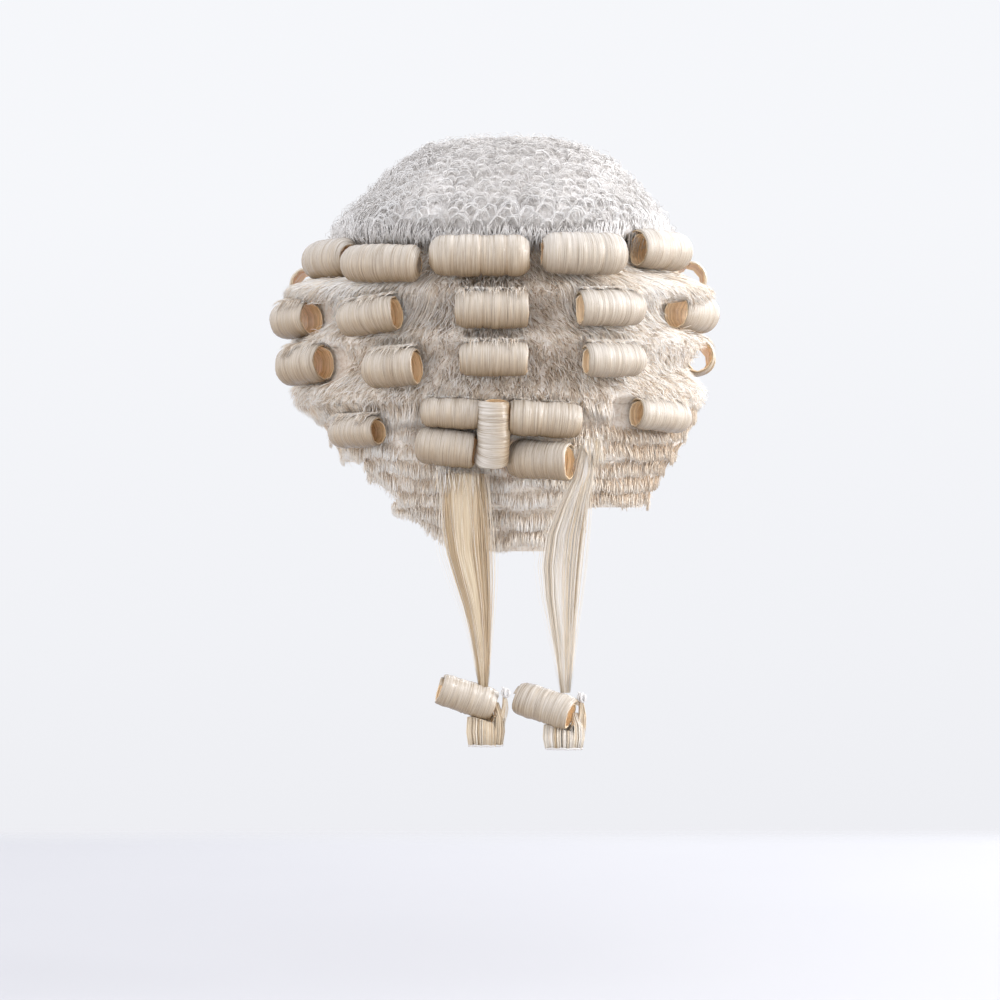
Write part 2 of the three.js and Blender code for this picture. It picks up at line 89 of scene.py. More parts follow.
# name, az, z, length, diameter, distance of the axis off the head form, tilt, turn
CURLS = [
    ("curl_row1_centre", 4.7, -58, 48, 21, 25, 0, 0),
    ("curl_row1_left_1", 28, -61, 40.5, 19.4, 25.5, 1.8, 0),
    ("curl_row1_left_2", 52.5, -55.5, 38, 21.4, 17.5, 1.4, 6),
    ("curl_row1_left_3", 96.5, -63.5, 38, 19, 23.5, 0, 0),
    ("curl_row1_right_1", -19.4, -56.5, 41, 21, 26, 0, 0),
    ("curl_row1_right_2", -46.5, -51.7, 32.4, 20.3, 20, 1, -14),
    ("curl_row1_right_3", -86, -61.5, 38, 19, 21, 0, 0),
    ("curl_row2_centre", 2.0, -84.3, 35, 19.5, 24, 0, 0),
    ("curl_row2_left_1", 31.0, -86.7, 29.5, 18.7, 24, -5, 0),
    ("curl_row2_left_2", 61.5, -85, 23, 19.8, 29.5, -3, 32),
    ("curl_row2_left_3", 95, -86, 36, 19.5, 24, 0, 0),
    ("curl_row2_right_1", -25.9, -83, 32.6, 18.6, 24, -1.6, 3),
    ("curl_row2_right_2", -62.3, -81.5, 23.5, 20.4, 23, 3, -30),
    ("curl_row2_right_3", -97, -81, 34, 18.6, 23, 0, 0),
    ("curl_row3_centre", 1.5, -108.4, 32.6, 18, 24, 0, 0),
    ("curl_row3_left_1", 25.3, -112.4, 25.5, 19.8, 24, -2, -4),
    ("curl_row3_left_2", 55.9, -108.6, 24.5, 20.8, 28.3, -3.5, 31),
    ("curl_row3_left_3", 92, -109, 34, 19.5, 24, 0, 0),
    ("curl_row3_right_1", -27.0, -108.4, 29.2, 17.4, 24, -1, 0),
    ("curl_row3_right_2", -80.8, -102, 27, 20, 24.5, 0, 0),
    ("curl_row3_right_3", -104, -102, 27, 17.5, 29, 0, 0),
    ("curl_row4_left", 40.0, -143.2, 31.6, 16.5, 21, -0.5, 0),
    ("curl_row4_right", -45.2, -134.7, 32.5, 17, 22.4, 4, -14),
    ("curl_nape_upper_left", 12.3, -134.8, 28, 14.6, 22, 2.6, 0),
    ("curl_nape_lower_left", 13.9, -151.4, 27.8, 17.4, 22, 7, 0),
    ("curl_nape_upper_right", -11.0, -137.7, 33.7, 17.4, 22, 3.5, 0),
    ("curl_nape_lower_right", -10.8, -157.6, 30.3, 18.8, 22.2, 3.8, -34),
]
UPRIGHT = dict(x=2.9, off=25.5, top=-128.6, bottom=-159.5, dia=13.4)

TAILS = {  # z, x, y, width
    "queue_left": [
        (-164, 18.0, 104.5, 20),
        (-178, 17.5, 103.0, 22),
        (-201, 16.5, 100.0, 21),
        (-226, 11.5, 98.0, 13),
        (-250, 9.0, 97.0, 7.5),
        (-269.5, 8.2, 97.0, 4.4),
    ],
    "queue_right": [
        (-150, -43.2, 110.0, 7),
        (-164, -42.6, 107.5, 7.5),
        (-172, -39.0, 105.0, 10),
        (-182, -34.5, 102.0, 15),
        (-201, -30.5, 99.0, 20),
        (-226, -30.5, 98.0, 15),
        (-250, -31.8, 97.0, 9),
        (-272.5, -32.4, 97.0, 4.6),
    ],
}
ENDS = {
    "left": dict(x=16.6, y=97, z=-274.9, length=29, dia=16.6, drop=-18, turn=6, knot=(-2.8, 100, -272.4),
                 brush_x=7.0, brush_top=-281, brush_bottom=-299.5, brush_width=18.8),
    "right": dict(x=-21.8, y=97, z=-279.1, length=30, dia=17.6, drop=-15.4, turn=-20, knot=(-40.4, 100, -274.8),
                  brush_x=-31.7, brush_top=-286, brush_bottom=-301, brush_width=20.4),
}


# ---------- numbers ----------
def lerp(a, b, t):
    return a + (b - a) * t


def ramp(x, a, b):
    t = np.clip((x - a) / (b - a), 0, 1)
    return t * t * (3 - 2 * t)


def unit(v):
    return v / np.maximum(np.linalg.norm(v, axis=-1, keepdims=True), 1e-9)


def waves(seed, scale, n=7):
    """A smooth field of about +-1 over two coordinates."""
    r = np.random.default_rng(seed)
    k = r.normal(size=(n, 2)) * scale
    p = r.uniform(0, 2 * math.pi, n)
    return lambda x, y: sum(np.sin(a * x + b * y + c) for (a, b), c in zip(k, p)) / math.sqrt(n / 2)


def form(z):
    z = np.asarray(z, float)
    rise = 1 - np.clip(-z / DOME_DEPTH, 0, 1)
    f = (1 - rise**DOME_POWER) ** (1 / DOME_POWER)
    low = z < -DOME_DEPTH
    side = np.where(low, np.interp(-z, FORM_Z, FORM_SIDE), FORM_SIDE[0] * f)
    back = np.where(low, np.interp(-z, FORM_Z, FORM_BACK), FORM_BACK[0] * f)
    return side, back


def oval(side, long, az, z):
    a = np.radians(az)
    s, c = np.sin(a), np.cos(a)
    side, long = np.maximum(side, 1e-6), np.maximum(long, 1e-6)
    r = ((np.abs(s) / side) ** PLAN_POWER + (np.abs(c) / long) ** PLAN_POWER) ** (-1 / PLAN_POWER)
    return np.stack(np.broadcast_arrays(r * s, r * c, np.asarray(z, float)), -1)


def off_form(z, off, az):
    side, back = form(z)
    return oval(side + off, back + off, az, z)


def crown_at(az, s, sink=0.0):
    """A point on the crown's outer face. s runs from 0 at the top to 1 at the rim."""
    z, side, back, front, x = (np.interp(s * CROWN_RUN[-1], CROWN_RUN, CROWN[:, i]) for i in range(5))
    facing = ramp(np.abs((az + 180) % 360 - 180), 80, 100)
    p = oval(side + 1e-3, lerp(back, front, facing) + 1e-3, az, z)
    p[..., 0] += x
    return p - np.asarray(sink)[..., None] * unit(p - np.array([-3.0, 0, -45.0]))


def crown_frame(az, s, sink=0.0):
    """Point, outward normal and the direction towards the top along the surface."""
    p = crown_at(az, s, sink)
    d_az = crown_at(az + 0.5, s, sink) - crown_at(az - 0.5, s, sink)
    up = unit(crown_at(az, np.maximum(s - 0.01, 0.002), sink) - crown_at(az, np.minimum(s + 0.01, 1), sink))
    n = unit(np.cross(up, unit(d_az)))
    return p, n * np.sign((n * (p - np.array([-3.0, 0, -45.0]))).sum(-1, keepdims=True)), up


def steps(z, knots, offs):
    out = offs[0] + 0 * z
    for i in range(len(knots) - 1):
        out = out + (offs[i + 1] - offs[i]) * np.clip((knots[i] - z) / (knots[i] - knots[i + 1]), 0, 1)
    return out


def tier_foot(t, az):
    return t["bottom"] + t["rise"] * ramp(az, t["riseFrom"], t["to"]) if t["rise"] else t["bottom"] + 0.0 * az


def tier_off(t, az, z, step=3.5):
    """How far a tier's outer face stands off the head form."""
    a = np.abs(az)
    side = ramp(a, 22, 66)
    front = ramp(a, 96, EDGE_AZ)
    waist = lerp(t["waist"], np.where(az > 0, t["leftWaist"], t["rightWaist"]), side)
    hem = lerp(lerp(t["hem"], np.where(az > 0, t["leftHem"], t["rightHem"]), side), waist + 2, front)
    z0, z1 = t["top"], tier_foot(t, az)
    if t["courses"] == 1:
        flare = lerp(z0, z1, lerp(0.5, t["flare"], side))
        full = lerp(z1 + 3.2, lerp(z0, z1, t["full"]), side)
        return steps(z, [z0, lerp(z0, flare, 0.4), flare, full, z1], [waist - 2.5, waist - 0.8, waist, hem, hem - 1])
    c = t["courses"]
    down = np.clip((z0 - z) / (z0 - z1), 0, 0.9999)
    i = np.floor(down * c)
    within = down * c - i
    w = lerp(waist, hem, (i + 0.75) / c)
    return np.where(within < 0.72, lerp(w - step, w, within / 0.72), w)


ENV_AZ = np.arange(-118, 118.1, 2.0)
ENV_Z = np.arange(-48.0, -206.1, -0.5)


def envelope():
    """The hair's outer face over the tiers: below each cut edge it falls back in slowly."""
    a, z = np.meshgrid(ENV_AZ, ENV_Z, indexing="ij")
    raw = np.full(a.shape, 9.0)
    for t in TIERS.values():
        foot = tier_foot(t, a)
        within = (z <= t["top"] + 0.7) & (z >= foot - 0.1) & (a >= t["from"] - 2) & (a <= t["to"] + 2)
        raw = np.where(within, tier_off(t, a, np.clip(z, foot, t["top"])), raw)
    for i in range(1, len(ENV_Z)):
        fall = 0.42 if ENV_Z[i] > -129 else 0.55
        raw[:, i] = np.maximum(raw[:, i], raw[:, i - 1] - fall)
    for _ in range(3):
        raw[:, 1:-1] = 0.25 * raw[:, :-2] + 0.5 * raw[:, 1:-1] + 0.25 * raw[:, 2:]
    return raw


ENV = envelope()


def hair_off(az, z):
    """The envelope between its grid's points."""
    x = np.clip((az - ENV_AZ[0]) / 2.0, 0, len(ENV_AZ) - 1.001)
    y = np.clip((ENV_Z[0] - z) / 0.5, 0, len(ENV_Z) - 1.001)
    i, j = x.astype(int), y.astype(int)
    u, v = x - i, y - j
    return lerp(lerp(ENV[i, j], ENV[i + 1, j], u), lerp(ENV[i, j + 1], ENV[i + 1, j + 1], u), v)


# ---------- meshes ----------
made = {}


class Parts:
    """Gathers vertices, triangles and their numbers for one joined mesh."""

    def __init__(self):
        self.v, self.f, self.uv, self.fibre, self.inner, self.n = [], [], [], [], [], 0

    def add(self, v, f, uv, fibre=None, inner=None):
        v = np.asarray(v, float).reshape(-1, 3)
        self.v.append(v)
        self.f.append(np.asarray(f, int).reshape(-1, 3) + self.n)
        self.uv.append(np.zeros((len(v), 2)) if uv is None else np.asarray(uv, float).reshape(-1, 2))
        self.fibre.append(np.zeros((len(v), 3)) if fibre is None else np.asarray(fibre, float).reshape(-1, 3))
        self.inner.append(np.zeros(len(v)) if inner is None else np.asarray(inner, float).ravel())
        self.n += len(v)
        return self

    def count(self):
        return sum(map(len, self.f))

    def build(self, name, material, slot, replaces=(), smooth=True, mapped=True):
        v, f = np.concatenate(self.v) * 0.001, np.concatenate(self.f)
        uv, fibre, inner = map(np.concatenate, (self.uv, self.fibre, self.inner))
        me = bpy.data.meshes.new(name)
        me.vertices.add(len(v))
        me.vertices.foreach_set("co", v.astype(np.float32).ravel())
        me.loops.add(f.size)
        me.loops.foreach_set("vertex_index", f.astype(np.int32).ravel())
        me.polygons.add(len(f))
        me.polygons.foreach_set("loop_start", np.arange(0, f.size, 3, dtype=np.int32))
        me.polygons.foreach_set("use_smooth", np.full(len(f), smooth))
        me.update(calc_edges=True)
        if mapped:
            layer = me.uv_layers.new(name="OFBake", do_init=False)
            layer.uv.foreach_set("vector", uv[f.ravel()].astype(np.float32).ravel())
        if np.abs(fibre).max() > 0:
            a = me.attributes.new("fibre", "FLOAT_VECTOR", "POINT")
            a.data.foreach_set("vector", fibre.astype(np.float32).ravel())
            a = me.attributes.new("inner", "FLOAT", "POINT")
            a.data.foreach_set("value", inner.astype(np.float32))
        me.validate()
        made[name] = len(me.polygons)
        me.materials.append(material)
        ob = bpy.data.objects.new(name, me)
        bpy.context.scene.collection.objects.link(ob)
        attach(ob, "root")
        if replaces:
            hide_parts(*replaces)
        return ob


BAND = 0.012  # width of a strand's own strip on its map


def strands(paths, radii, tone, ref, sides=3, flat=1.0, blunt=False, v0=0.0):
    """Closed tapering tubes along many paths at once. paths (n, k, 3), radii (n, k), tone (n,) 0 to 1."""
    n, k, _ = paths.shape
    along = unit(np.gradient(paths, axis=1))
    across = unit(np.cross(along, ref[:, None, :]))
    up = np.cross(across, along)
    rings = k if blunt else k - 1
    a = 2 * math.pi * np.arange(sides) / sides
    body = (
        paths[:, :rings, None]
        + radii[:, :rings, None, None]
        * (np.cos(a)[:, None] * across[:, :rings, None] + flat * np.sin(a)[:, None] * up[:, :rings, None])
    ).reshape(n, -1, 3)
    per = rings * sides
    faces = []
    for i in range(rings - 1):
        for j in range(sides):
            p, q = i * sides + j, i * sides + (j + 1) % sides
            faces += [(p, q, q + sides), (p, q + sides, p + sides)]
    faces += [(0, j + 1, j) for j in range(1, sides - 1)]
    last = (rings - 1) * sides
    if blunt:
        faces += [(last, last + j, last + j + 1) for j in range(1, sides - 1)]
        v = body
    else:
        faces += [(last + j, last + (j + 1) % sides, per) for j in range(sides)]
        v = np.concatenate([body, paths[:, -1:]], 1)
        per += 1
    wide = np.abs((np.arange(sides) * 2 / sides) - 1)  # out and back, so the strip needs no seam
    u = tone[:, None, None] * (1 - BAND) + BAND * np.broadcast_to(wide, (n, rings, sides))
    t = np.broadcast_to(np.linspace(v0, 1, k)[None, :rings, None], (n, rings, sides))
    uv = np.stack([u, t], -1).reshape(n, -1, 2)
    if not blunt:
        tip = np.stack([tone * (1 - BAND) + BAND / 2, np.ones(n)], -1)[:, None]
        uv = np.concatenate([uv, tip], 1)
    f = np.array(faces)[None] + (np.arange(n) * per)[:, None, None]
    return v.reshape(-1, 3), f.reshape(-1, 3), uv.reshape(-1, 2)


def sheet_faces(rows, cols, close_cols=False):
    """Triangles of a grid of rows by cols points."""
    i, j = np.meshgrid(np.arange(rows - 1), np.arange(cols if close_cols else cols - 1), indexing="ij")
    a = i * cols + j
    b = i * cols + (j + 1) % cols
    return np.concatenate(
        [np.stack([a, b, b + cols], -1).reshape(-1, 3), np.stack([a, b + cols, a + cols], -1).reshape(-1, 3)]
    )


def outward(v, f):
    """Turns the faces round if the body they close has a negative volume."""
    a, b, c = v[f[:, 0]], v[f[:, 1]], v[f[:, 2]]
    return f if (a * np.cross(b, c)).sum() > 0 else f[:, ::-1]


def ribbon_caps(n, m, outer):
    """Closes both ends of a band whose rings hold outer points and then the inner ones back again."""
    inner = m - outer
    caps = []
    for row, flip in ((0, False), (n - 1, True)):
        o = row * m
        pair = [m - 1 - round(j * (inner - 1) / (outer - 1)) for j in range(outer)]
        for j in range(outer - 1):
            tri = [(o + j, o + pair[j], o + j + 1)]
            if pair[j] != pair[j + 1]:
                tri.append((o + j + 1, o + pair[j], o + pair[j + 1]))
            caps += [x[::-1] if flip else x for x in tri]
    return np.array(caps)


# ---------- materials ----------
def new_material(name, roughness, specular=0.4):
    m = bpy.data.materials.new(name)
    m.use_nodes = True
    nt = m.node_tree
    nt.nodes.clear()
    out = nt.nodes.new("ShaderNodeOutputMaterial")
    p = nt.nodes.new("ShaderNodeBsdfPrincipled")
    p.inputs["Roughness"].default_value = roughness
    p.inputs["Specular IOR Level"].default_value = specular
    nt.links.new(p.outputs[0], out.inputs[0])
    return m, nt, p


def node(nt, kind, **values):
    n = nt.nodes.new(kind)
    for k, v in values.items():
        if k in n.inputs:
            n.inputs[k].default_value = v
        else:
            setattr(n, k, v)
    return n


def colour_ramp(nt, stops):
    n = nt.nodes.new("ShaderNodeValToRGB")
    e = n.color_ramp.elements
    while len(e) < len(stops):
        e.new(0.5)
    for x, (at, c) in zip(e, stops):
        x.position = at
        x.color = (*c, 1)
    return n


def times(nt, a, b):
    m = nt.nodes.new("ShaderNodeMix")
    m.data_type, m.blend_type = "RGBA", "MULTIPLY"
    m.inputs[0].default_value = 1.0
    nt.links.new(a, m.inputs[6])
    nt.links.new(b, m.inputs[7])
    return m.outputs[2]


def scaled_noise(nt, vector, x, y, detail=3.0, rough=0.6):
    mp = nt.nodes.new("ShaderNodeMapping")
    mp.inputs["Scale"].default_value = (x, y, 1)
    nt.links.new(vector, mp.inputs["Vector"])
    n = node(nt, "ShaderNodeTexNoise", Scale=1.0, Detail=detail, Roughness=rough)
    nt.links.new(mp.outputs[0], n.inputs["Vector"])
    return n.outputs["Fac"]


def blend(nt, a, b, factor):
    m = nt.nodes.new("ShaderNodeMix")
    m.data_type = "FLOAT"
    m.inputs[0].default_value = factor
    nt.links.new(a, m.inputs[2])
    nt.links.new(b, m.inputs[3])
    return m.outputs[0]


def bumped(nt, p, height, strength, distance):
    b = node(nt, "ShaderNodeBump", Strength=strength, Distance=distance)
    nt.links.new(height, b.inputs["Height"])
    nt.links.new(b.outputs[0], p.inputs["Normal"])
    return b


def strand_material(name, stops, root, roughness=0.55, root_shade_reach=0.55, specular=0.4):
    """Colour across the map is each strand's own, and along it runs from root to tip, with painted shade at the root
    that fades out part way along.
    """
    m, nt, p = new_material(name, roughness, specular)
    uv = node(nt, "ShaderNodeUVMap", uv_map="OFBake")
    xy = nt.nodes.new("ShaderNodeSeparateXYZ")
    nt.links.new(uv.outputs[0], xy.inputs[0])
    own = colour_ramp(nt, stops)
    nt.links.new(xy.outputs[0], own.inputs[0])
    depth = colour_ramp(nt, [(0.0, root), (root_shade_reach, (1, 1, 1)), (1.0, (1, 1, 1))])
    nt.links.new(xy.outputs[1], depth.inputs[0])
    nt.links.new(times(nt, own.outputs[0], depth.outputs[0]), p.inputs["Base Color"])
    return m


# painted light round a roll, as shares of its map: a painted highlight band near the top and painted shade underneath;
# its top is at 0.06, the face at 0.165 and the bottom at 0.27
ROLL_SHEEN_AND_SHADE = [(0.0, (0.84, 0.82, 0.79)), (0.055, (0.98, 0.97, 0.96)), (0.095, (1.16, 1.17, 1.20)), (0.125, (1.10, 1.095, 1.10)), (0.155, (0.95, 0.90, 0.84)), (0.185, (0.84, 0.75, 0.63)), (0.215, (0.68, 0.56, 0.42)), (0.245, (0.52, 0.41, 0.28)), (0.28, (0.38, 0.28, 0.18)), (0.42, (0.60, 0.50, 0.36)), (0.50, (1, 1, 1))]


def lock_material(name, stops, bore_light_groove_shade, roughness, bump=0.6, fine=3.0, rolled=True, shade=1.0):
    """Hair laid side by side: the attribute fibre holds millimetres across it and along it. With rolled, a painted
    highlight and painted shade run round the roll; inside is painted warm light in the bore and painted shade in the
    grooves.
    """
    m, nt, p = new_material(name, roughness, 0.85)
    at = node(nt, "ShaderNodeAttribute", attribute_name="fibre")
    hair = scaled_noise(nt, at.outputs["Vector"], fine, 0.05, 4.0, 0.75)
    strand = scaled_noise(nt, at.outputs["Vector"], 1.1, 0.03, 2.0, 0.5)
    clump = scaled_noise(nt, at.outputs["Vector"], 0.4, 0.012, 1.0, 0.5)
    tone = colour_ramp(nt, stops)
    nt.links.new(blend(nt, blend(nt, hair, strand, 0.34), clump, 0.07), tone.inputs[0])
    colour = tone.outputs[0]
    if rolled:
        xyz = nt.nodes.new("ShaderNodeSeparateXYZ")
        uv = node(nt, "ShaderNodeUVMap", uv_map="OFBake")
        nt.links.new(uv.outputs[0], xyz.inputs[0])
        # the painted highlight band wanders with the strand noise
        shift = node(nt, "ShaderNodeMath", operation="MULTIPLY_ADD")
        shift.inputs[1].default_value = 0.11
        nt.links.new(strand, shift.inputs[0])
        nt.links.new(xyz.outputs[1], shift.inputs[2])
        painted_sheen_and_shade = colour_ramp(nt, [(at + 0.055, tuple(1 + (x - 1) * shade for x in c)) for at, c in ROLL_SHEEN_AND_SHADE])
        nt.links.new(shift.outputs[0], painted_sheen_and_shade.inputs[0])
        colour = times(nt, colour, painted_sheen_and_shade.outputs[0])
    # inner mixes in painted warm light in the bore and painted shade along the grooves
    within = node(nt, "ShaderNodeAttribute", attribute_name="inner")
    m2 = nt.nodes.new("ShaderNodeMix")
    m2.data_type, m2.blend_type = "RGBA", "MULTIPLY"
    m2.inputs[7].default_value = (*bore_light_groove_shade, 1)
    nt.links.new(within.outputs["Fac"], m2.inputs[0])
    nt.links.new(colour, m2.inputs[6])
    nt.links.new(m2.outputs[2], p.inputs["Base Color"])
    bumped(nt, p, hair, bump, 0.0004)
    return m


def matted_material(name, stops, scale=420.0, strength=0.7):
    """What lies under the strands: matted hair, by place."""
    m, nt, p = new_material(name, 0.85, 0.2)
    tc = nt.nodes.new("ShaderNodeTexCoord")
    n = node(nt, "ShaderNodeTexNoise", Scale=scale, Detail=5.0, Roughness=0.7, Distortion=0.6)
    nt.links.new(tc.outputs["Object"], n.inputs["Vector"])
    tone = colour_ramp(nt, stops)
    nt.links.new(n.outputs["Fac"], tone.inputs[0])
    nt.links.new(tone.outputs[0], p.inputs["Base Color"])
    bumped(nt, p, n.outputs["Fac"], strength, 0.001)
    return m


CREAM = [(0.34, (0.21, 0.158, 0.102)), (0.42, (0.375, 0.312, 0.236)), (0.50, (0.505, 0.446, 0.366)), (0.58, (0.61, 0.56, 0.488)), (0.68, (0.71, 0.675, 0.615))]
# inside multipliers: painted warm light for the bores, painted shade for the grooves
M_CURL = lock_material("rolled_hair", CREAM, (1.54, 1.22, 0.82), 0.27)
# a lit copy with a brighter bore, for curls on the wearer's right where the key light falls: painted light
M_CURL_LIT_BORE = lock_material("rolled_hair_lit_bore", CREAM, (1.92, 1.68, 1.30), 0.27)
# stops of the lit side: painted light, with lighter darks and less painted shade round the roll (shade=0.78)
LIT_SIDE_CREAM = [(0.34, (0.27, 0.215, 0.152)), (0.42, (0.42, 0.364, 0.292)), (0.50, (0.54, 0.488, 0.416)), (0.58, (0.625, 0.585, 0.522)), (0.68, (0.71, 0.682, 0.63))]
M_CURL_LIT_SIDE = lock_material("rolled_hair_lit_side", LIT_SIDE_CREAM, (1.70, 1.50, 1.18), 0.27, shade=0.78)
M_RING = lock_material(
    "rolled_hair_thin", [(0.34, (0.40, 0.31, 0.20)), (0.50, (0.60, 0.53, 0.42)), (0.66, (0.74, 0.69, 0.60))], (1.66, 1.44, 1.10), 0.30
)
M_TAIL_BODY = lock_material(
    "queue_body", [(0.32, (0.38, 0.27, 0.15)), (0.45, (0.56, 0.425, 0.26)), (0.56, (0.68, 0.56, 0.385)), (0.70, (0.79, 0.71, 0.555))], (0.9, 0.8, 0.6), 0.36, rolled=False
)
M_CROWN = strand_material(
    "crown_hair",
    [(0.0, (0.54, 0.505, 0.47)), (0.4, (0.695, 0.668, 0.636)), (0.75, (0.805, 0.78, 0.75)), (1.0, (0.875, 0.86, 0.835))],
    (0.93, 0.91, 0.89), 0.55, 0.25,
)
# the frizz's root colour is painted shade deep in the hair
M_FRIZZ = strand_material(
    "frizz_hair",
    [(0.0, (0.58, 0.46, 0.34)), (0.30, (0.88, 0.78, 0.65)), (0.6, (0.98, 0.925, 0.84)), (1.0, (0.99, 0.97, 0.93))],
    (0.80, 0.71, 0.61), 0.7, 0.60, 0.15,
)
M_TAIL = strand_material(
    "queue_hair",
    [(0.0, (0.62, 0.45, 0.26)), (0.4, (0.83, 0.69, 0.50)), (0.8, (0.92, 0.84, 0.71)), (1.0, (0.96, 0.91, 0.84))],
    (0.97, 0.95, 0.92), 0.4, 0.2,
)
M_UNDER = matted_material(
    "matted_hair", [(0.32, (0.66, 0.56, 0.45)), (0.5, (0.88, 0.80, 0.70)), (0.68, (0.97, 0.93, 0.86))]
)
M_UNDER_CROWN = matted_material(
    "matted_crown", [(0.30, (0.56, 0.525, 0.488)), (0.5, (0.715, 0.685, 0.65)), (0.70, (0.835, 0.815, 0.785))]
)
# a lit copy of queue_body for the right queue, where the key light falls: painted light
M_TAIL_BODY_LIT = lock_material(
    "queue_body_lit_side", [(0.32, (0.62, 0.55, 0.45)), (0.45, (0.79, 0.735, 0.65)), (0.56, (0.87, 0.835, 0.78)), (0.70, (0.93, 0.915, 0.885))], (0.9, 0.8, 0.6), 0.4, rolled=False
)
M_THREAD = strand_material(
    "thread", [(0.0, (0.60, 0.575, 0.55)), (1.0, (0.78, 0.76, 0.735))], (1, 1, 1), 0.7, 0.1
)


# ---------- rolled curls ----------
def curl_axis(c, count):
    """Points and frames along a curl's centre line, as in the solids."""
    _, az, z, length, dia, off, tilt, turn = c
    fine = off_form(z, off, az + np.arange(-40, 40.01, 0.5))
    run = np.r_[0, np.cumsum(np.linalg.norm(np.diff(fine, axis=0), axis=1))]
    run -= run[80]
    s = np.linspace(-length / 2, length / 2, count)
    p = np.stack([np.interp(s, run, fine[:, i]) for i in range(3)], -1)
    centre = np.array([np.interp(0, run, fine[:, i]) for i in range(3)])
    ct, st = math.cos(math.radians(turn)), math.sin(math.radians(turn))
    d = p - centre
    p = centre + np.stack([d[:, 0] * ct - d[:, 1] * st, d[:, 0] * st + d[:, 1] * ct, d[:, 2]], -1)
    p[:, 2] = z + s * math.tan(math.radians(tilt))
    t = unit(np.gradient(p, axis=0))
    across = unit(np.cross(np.array([0, 0, 1.0]), t))
    return s, p, t, across, np.cross(t, across)


def roll(s, p, t, across, up, dia, start, turns, wall, seed, slant=0.0, parting=1.0, shut=(0.0, 0.0), splits=()):
    """A lock of hair wound on itself. Every column round it is a few hairs with its own height."""
    r = np.random.default_rng(seed)
    n = len(s)
    length = s[-1] - s[0]
    outer_n, inner_n = 26, 12
    hair = np.convolve(r.normal(size=n + 2), [0.25, 0.5, 0.25], "valid") * 0.13
    # strands part here and there
    edges = [s[0] + r.uniform(2, 6)]
    while edges[-1] < s[-1] - 3.0:
        edges.append(edges[-1] + r.uniform(2.5, 9.0))
    edges = np.array(edges[:-1]) if len(edges) > 1 else np.array([0.0])
    depth = r.uniform(0.05, 0.42, len(edges)) * parting
    drift = r.normal(0, 1.1, len(edges))
    edges = np.r_[edges, [a for a, _ in splits]]
    depth = np.r_[depth, [b for _, b in splits]]
    drift = np.r_[drift, np.full(len(splits), 0.8)]
    k = np.arange(outer_n) / (outer_n - 1)
    gap = np.abs(s[:, None, None] - edges[None, None] - drift[None, None] * (k[None, :, None] - 0.4))
    groove = (depth * np.exp(-((gap / 0.42) ** 1.3))).sum(-1)
    end = np.minimum(s - s[0], s[-1] - s)
    rounding = 0.65 * np.exp(-end / 0.8) + 0.40 * np.exp(-end / 3.0)
    rounding = rounding + shut[0] * np.exp(-(((s - s[0]) / 2.6) ** 1.6)) + shut[1] * np.exp(-(((s[-1] - s) / 2.6) ** 1.6))
    swell = 0.14 * np.sin(s * 0.31 + r.uniform(0, 6)) + 0.09 * np.sin(s * 0.8 + r.uniform(0, 6))
    a = np.radians(start - 360 * turns * k)
    wander = waves(seed + 50, 0.25)
    ss, kk = np.meshgrid(s, k, indexing="ij")
    lift = hair[:, None] - groove * (0.5 + 0.5 * np.sin(math.pi * kk)) - rounding[:, None] + swell[:, None]
    lift = lift + 0.10 * wander(ss, kk * 20)
    rad = dia / 2 + 0.1 - (wall + 0.8) * turns * k[None, :] ** 2.4 + lift
    ragged = np.convolve(r.normal(size=outer_n + 2), [0.25, 0.5, 0.25], "valid")[None]
    slide = slant * (kk - 0.5) + 0.3 * wander(ss * 0.6, kk * 9 + 5)
    slide = slide + 0.35 * ragged * np.sign(ss) * np.exp(-end[:, None] / 2.0)
    ki = np.linspace(1, 0, inner_n)
    ai = np.radians(start - 360 * turns * ki)
    thick = wall * np.minimum(1, 0.30 + 3.0 * np.minimum(ki, 1 - ki))
    thin = 1 - 0.45 * np.exp(-end / 1.5)  # the lock thins out at the mouth
    hi = np.array([np.interp(ki, k, row) for row in rad])
    slide_i = np.array([np.interp(ki, k, row) for row in slide])
    rad_i = hi - thick[None] * thin[:, None] + 0.25 * hair[:, None]
    angles = np.concatenate([a, ai])
    radii = np.concatenate([rad, rad_i], 1)
    slides = np.concatenate([slide, slide_i], 1)
    v = (
        p[:, None]
        + radii[..., None] * (np.cos(angles)[None, :, None] * across[:, None] + np.sin(angles)[None, :, None] * up[:, None])
        + slides[..., None] * t[:, None]
    )
    m = outer_n + inner_n
    f = np.concatenate([sheet_faces(n, m, True), ribbon_caps(n, m, outer_n)])
    run = np.concatenate([k, 1 + (1 - ki) * 0.999 + 0.001]) / 2
    uu = 0.01 + 0.98 * (s - s[0]) / length
    uv = np.stack(np.meshgrid(uu, 0.005 + 0.985 * run / run.max(), indexing="ij"), -1)
    girth = dia * math.pi * turns
    fibre = np.stack(
        [
            s[:, None] + 0.45 * wander(s[:, None] * 0.5, np.concatenate([k, ki])[None] * 14) + seed * 7.3,
            np.broadcast_to(np.concatenate([k, ki])[None] * girth, (n, m)) + 0.0,
            np.full((n, m), seed * 3.7),
        ],
        -1,
    )
    # the attribute inner: painted warm light in the bore, some where the sheet turns in, and painted shade along the
    # grooves
    shade = np.concatenate([0.25 * ramp(k, 0.85, 1.0), np.full(inner_n, 1.0)])[None] + np.concatenate(
        [0.22 * np.minimum(groove, 1), np.zeros((n, inner_n))], 1
    )
    return v.reshape(-1, 3), f, uv.reshape(-1, 2), fibre.reshape(-1, 3), np.clip(shade, 0, 1).ravel()


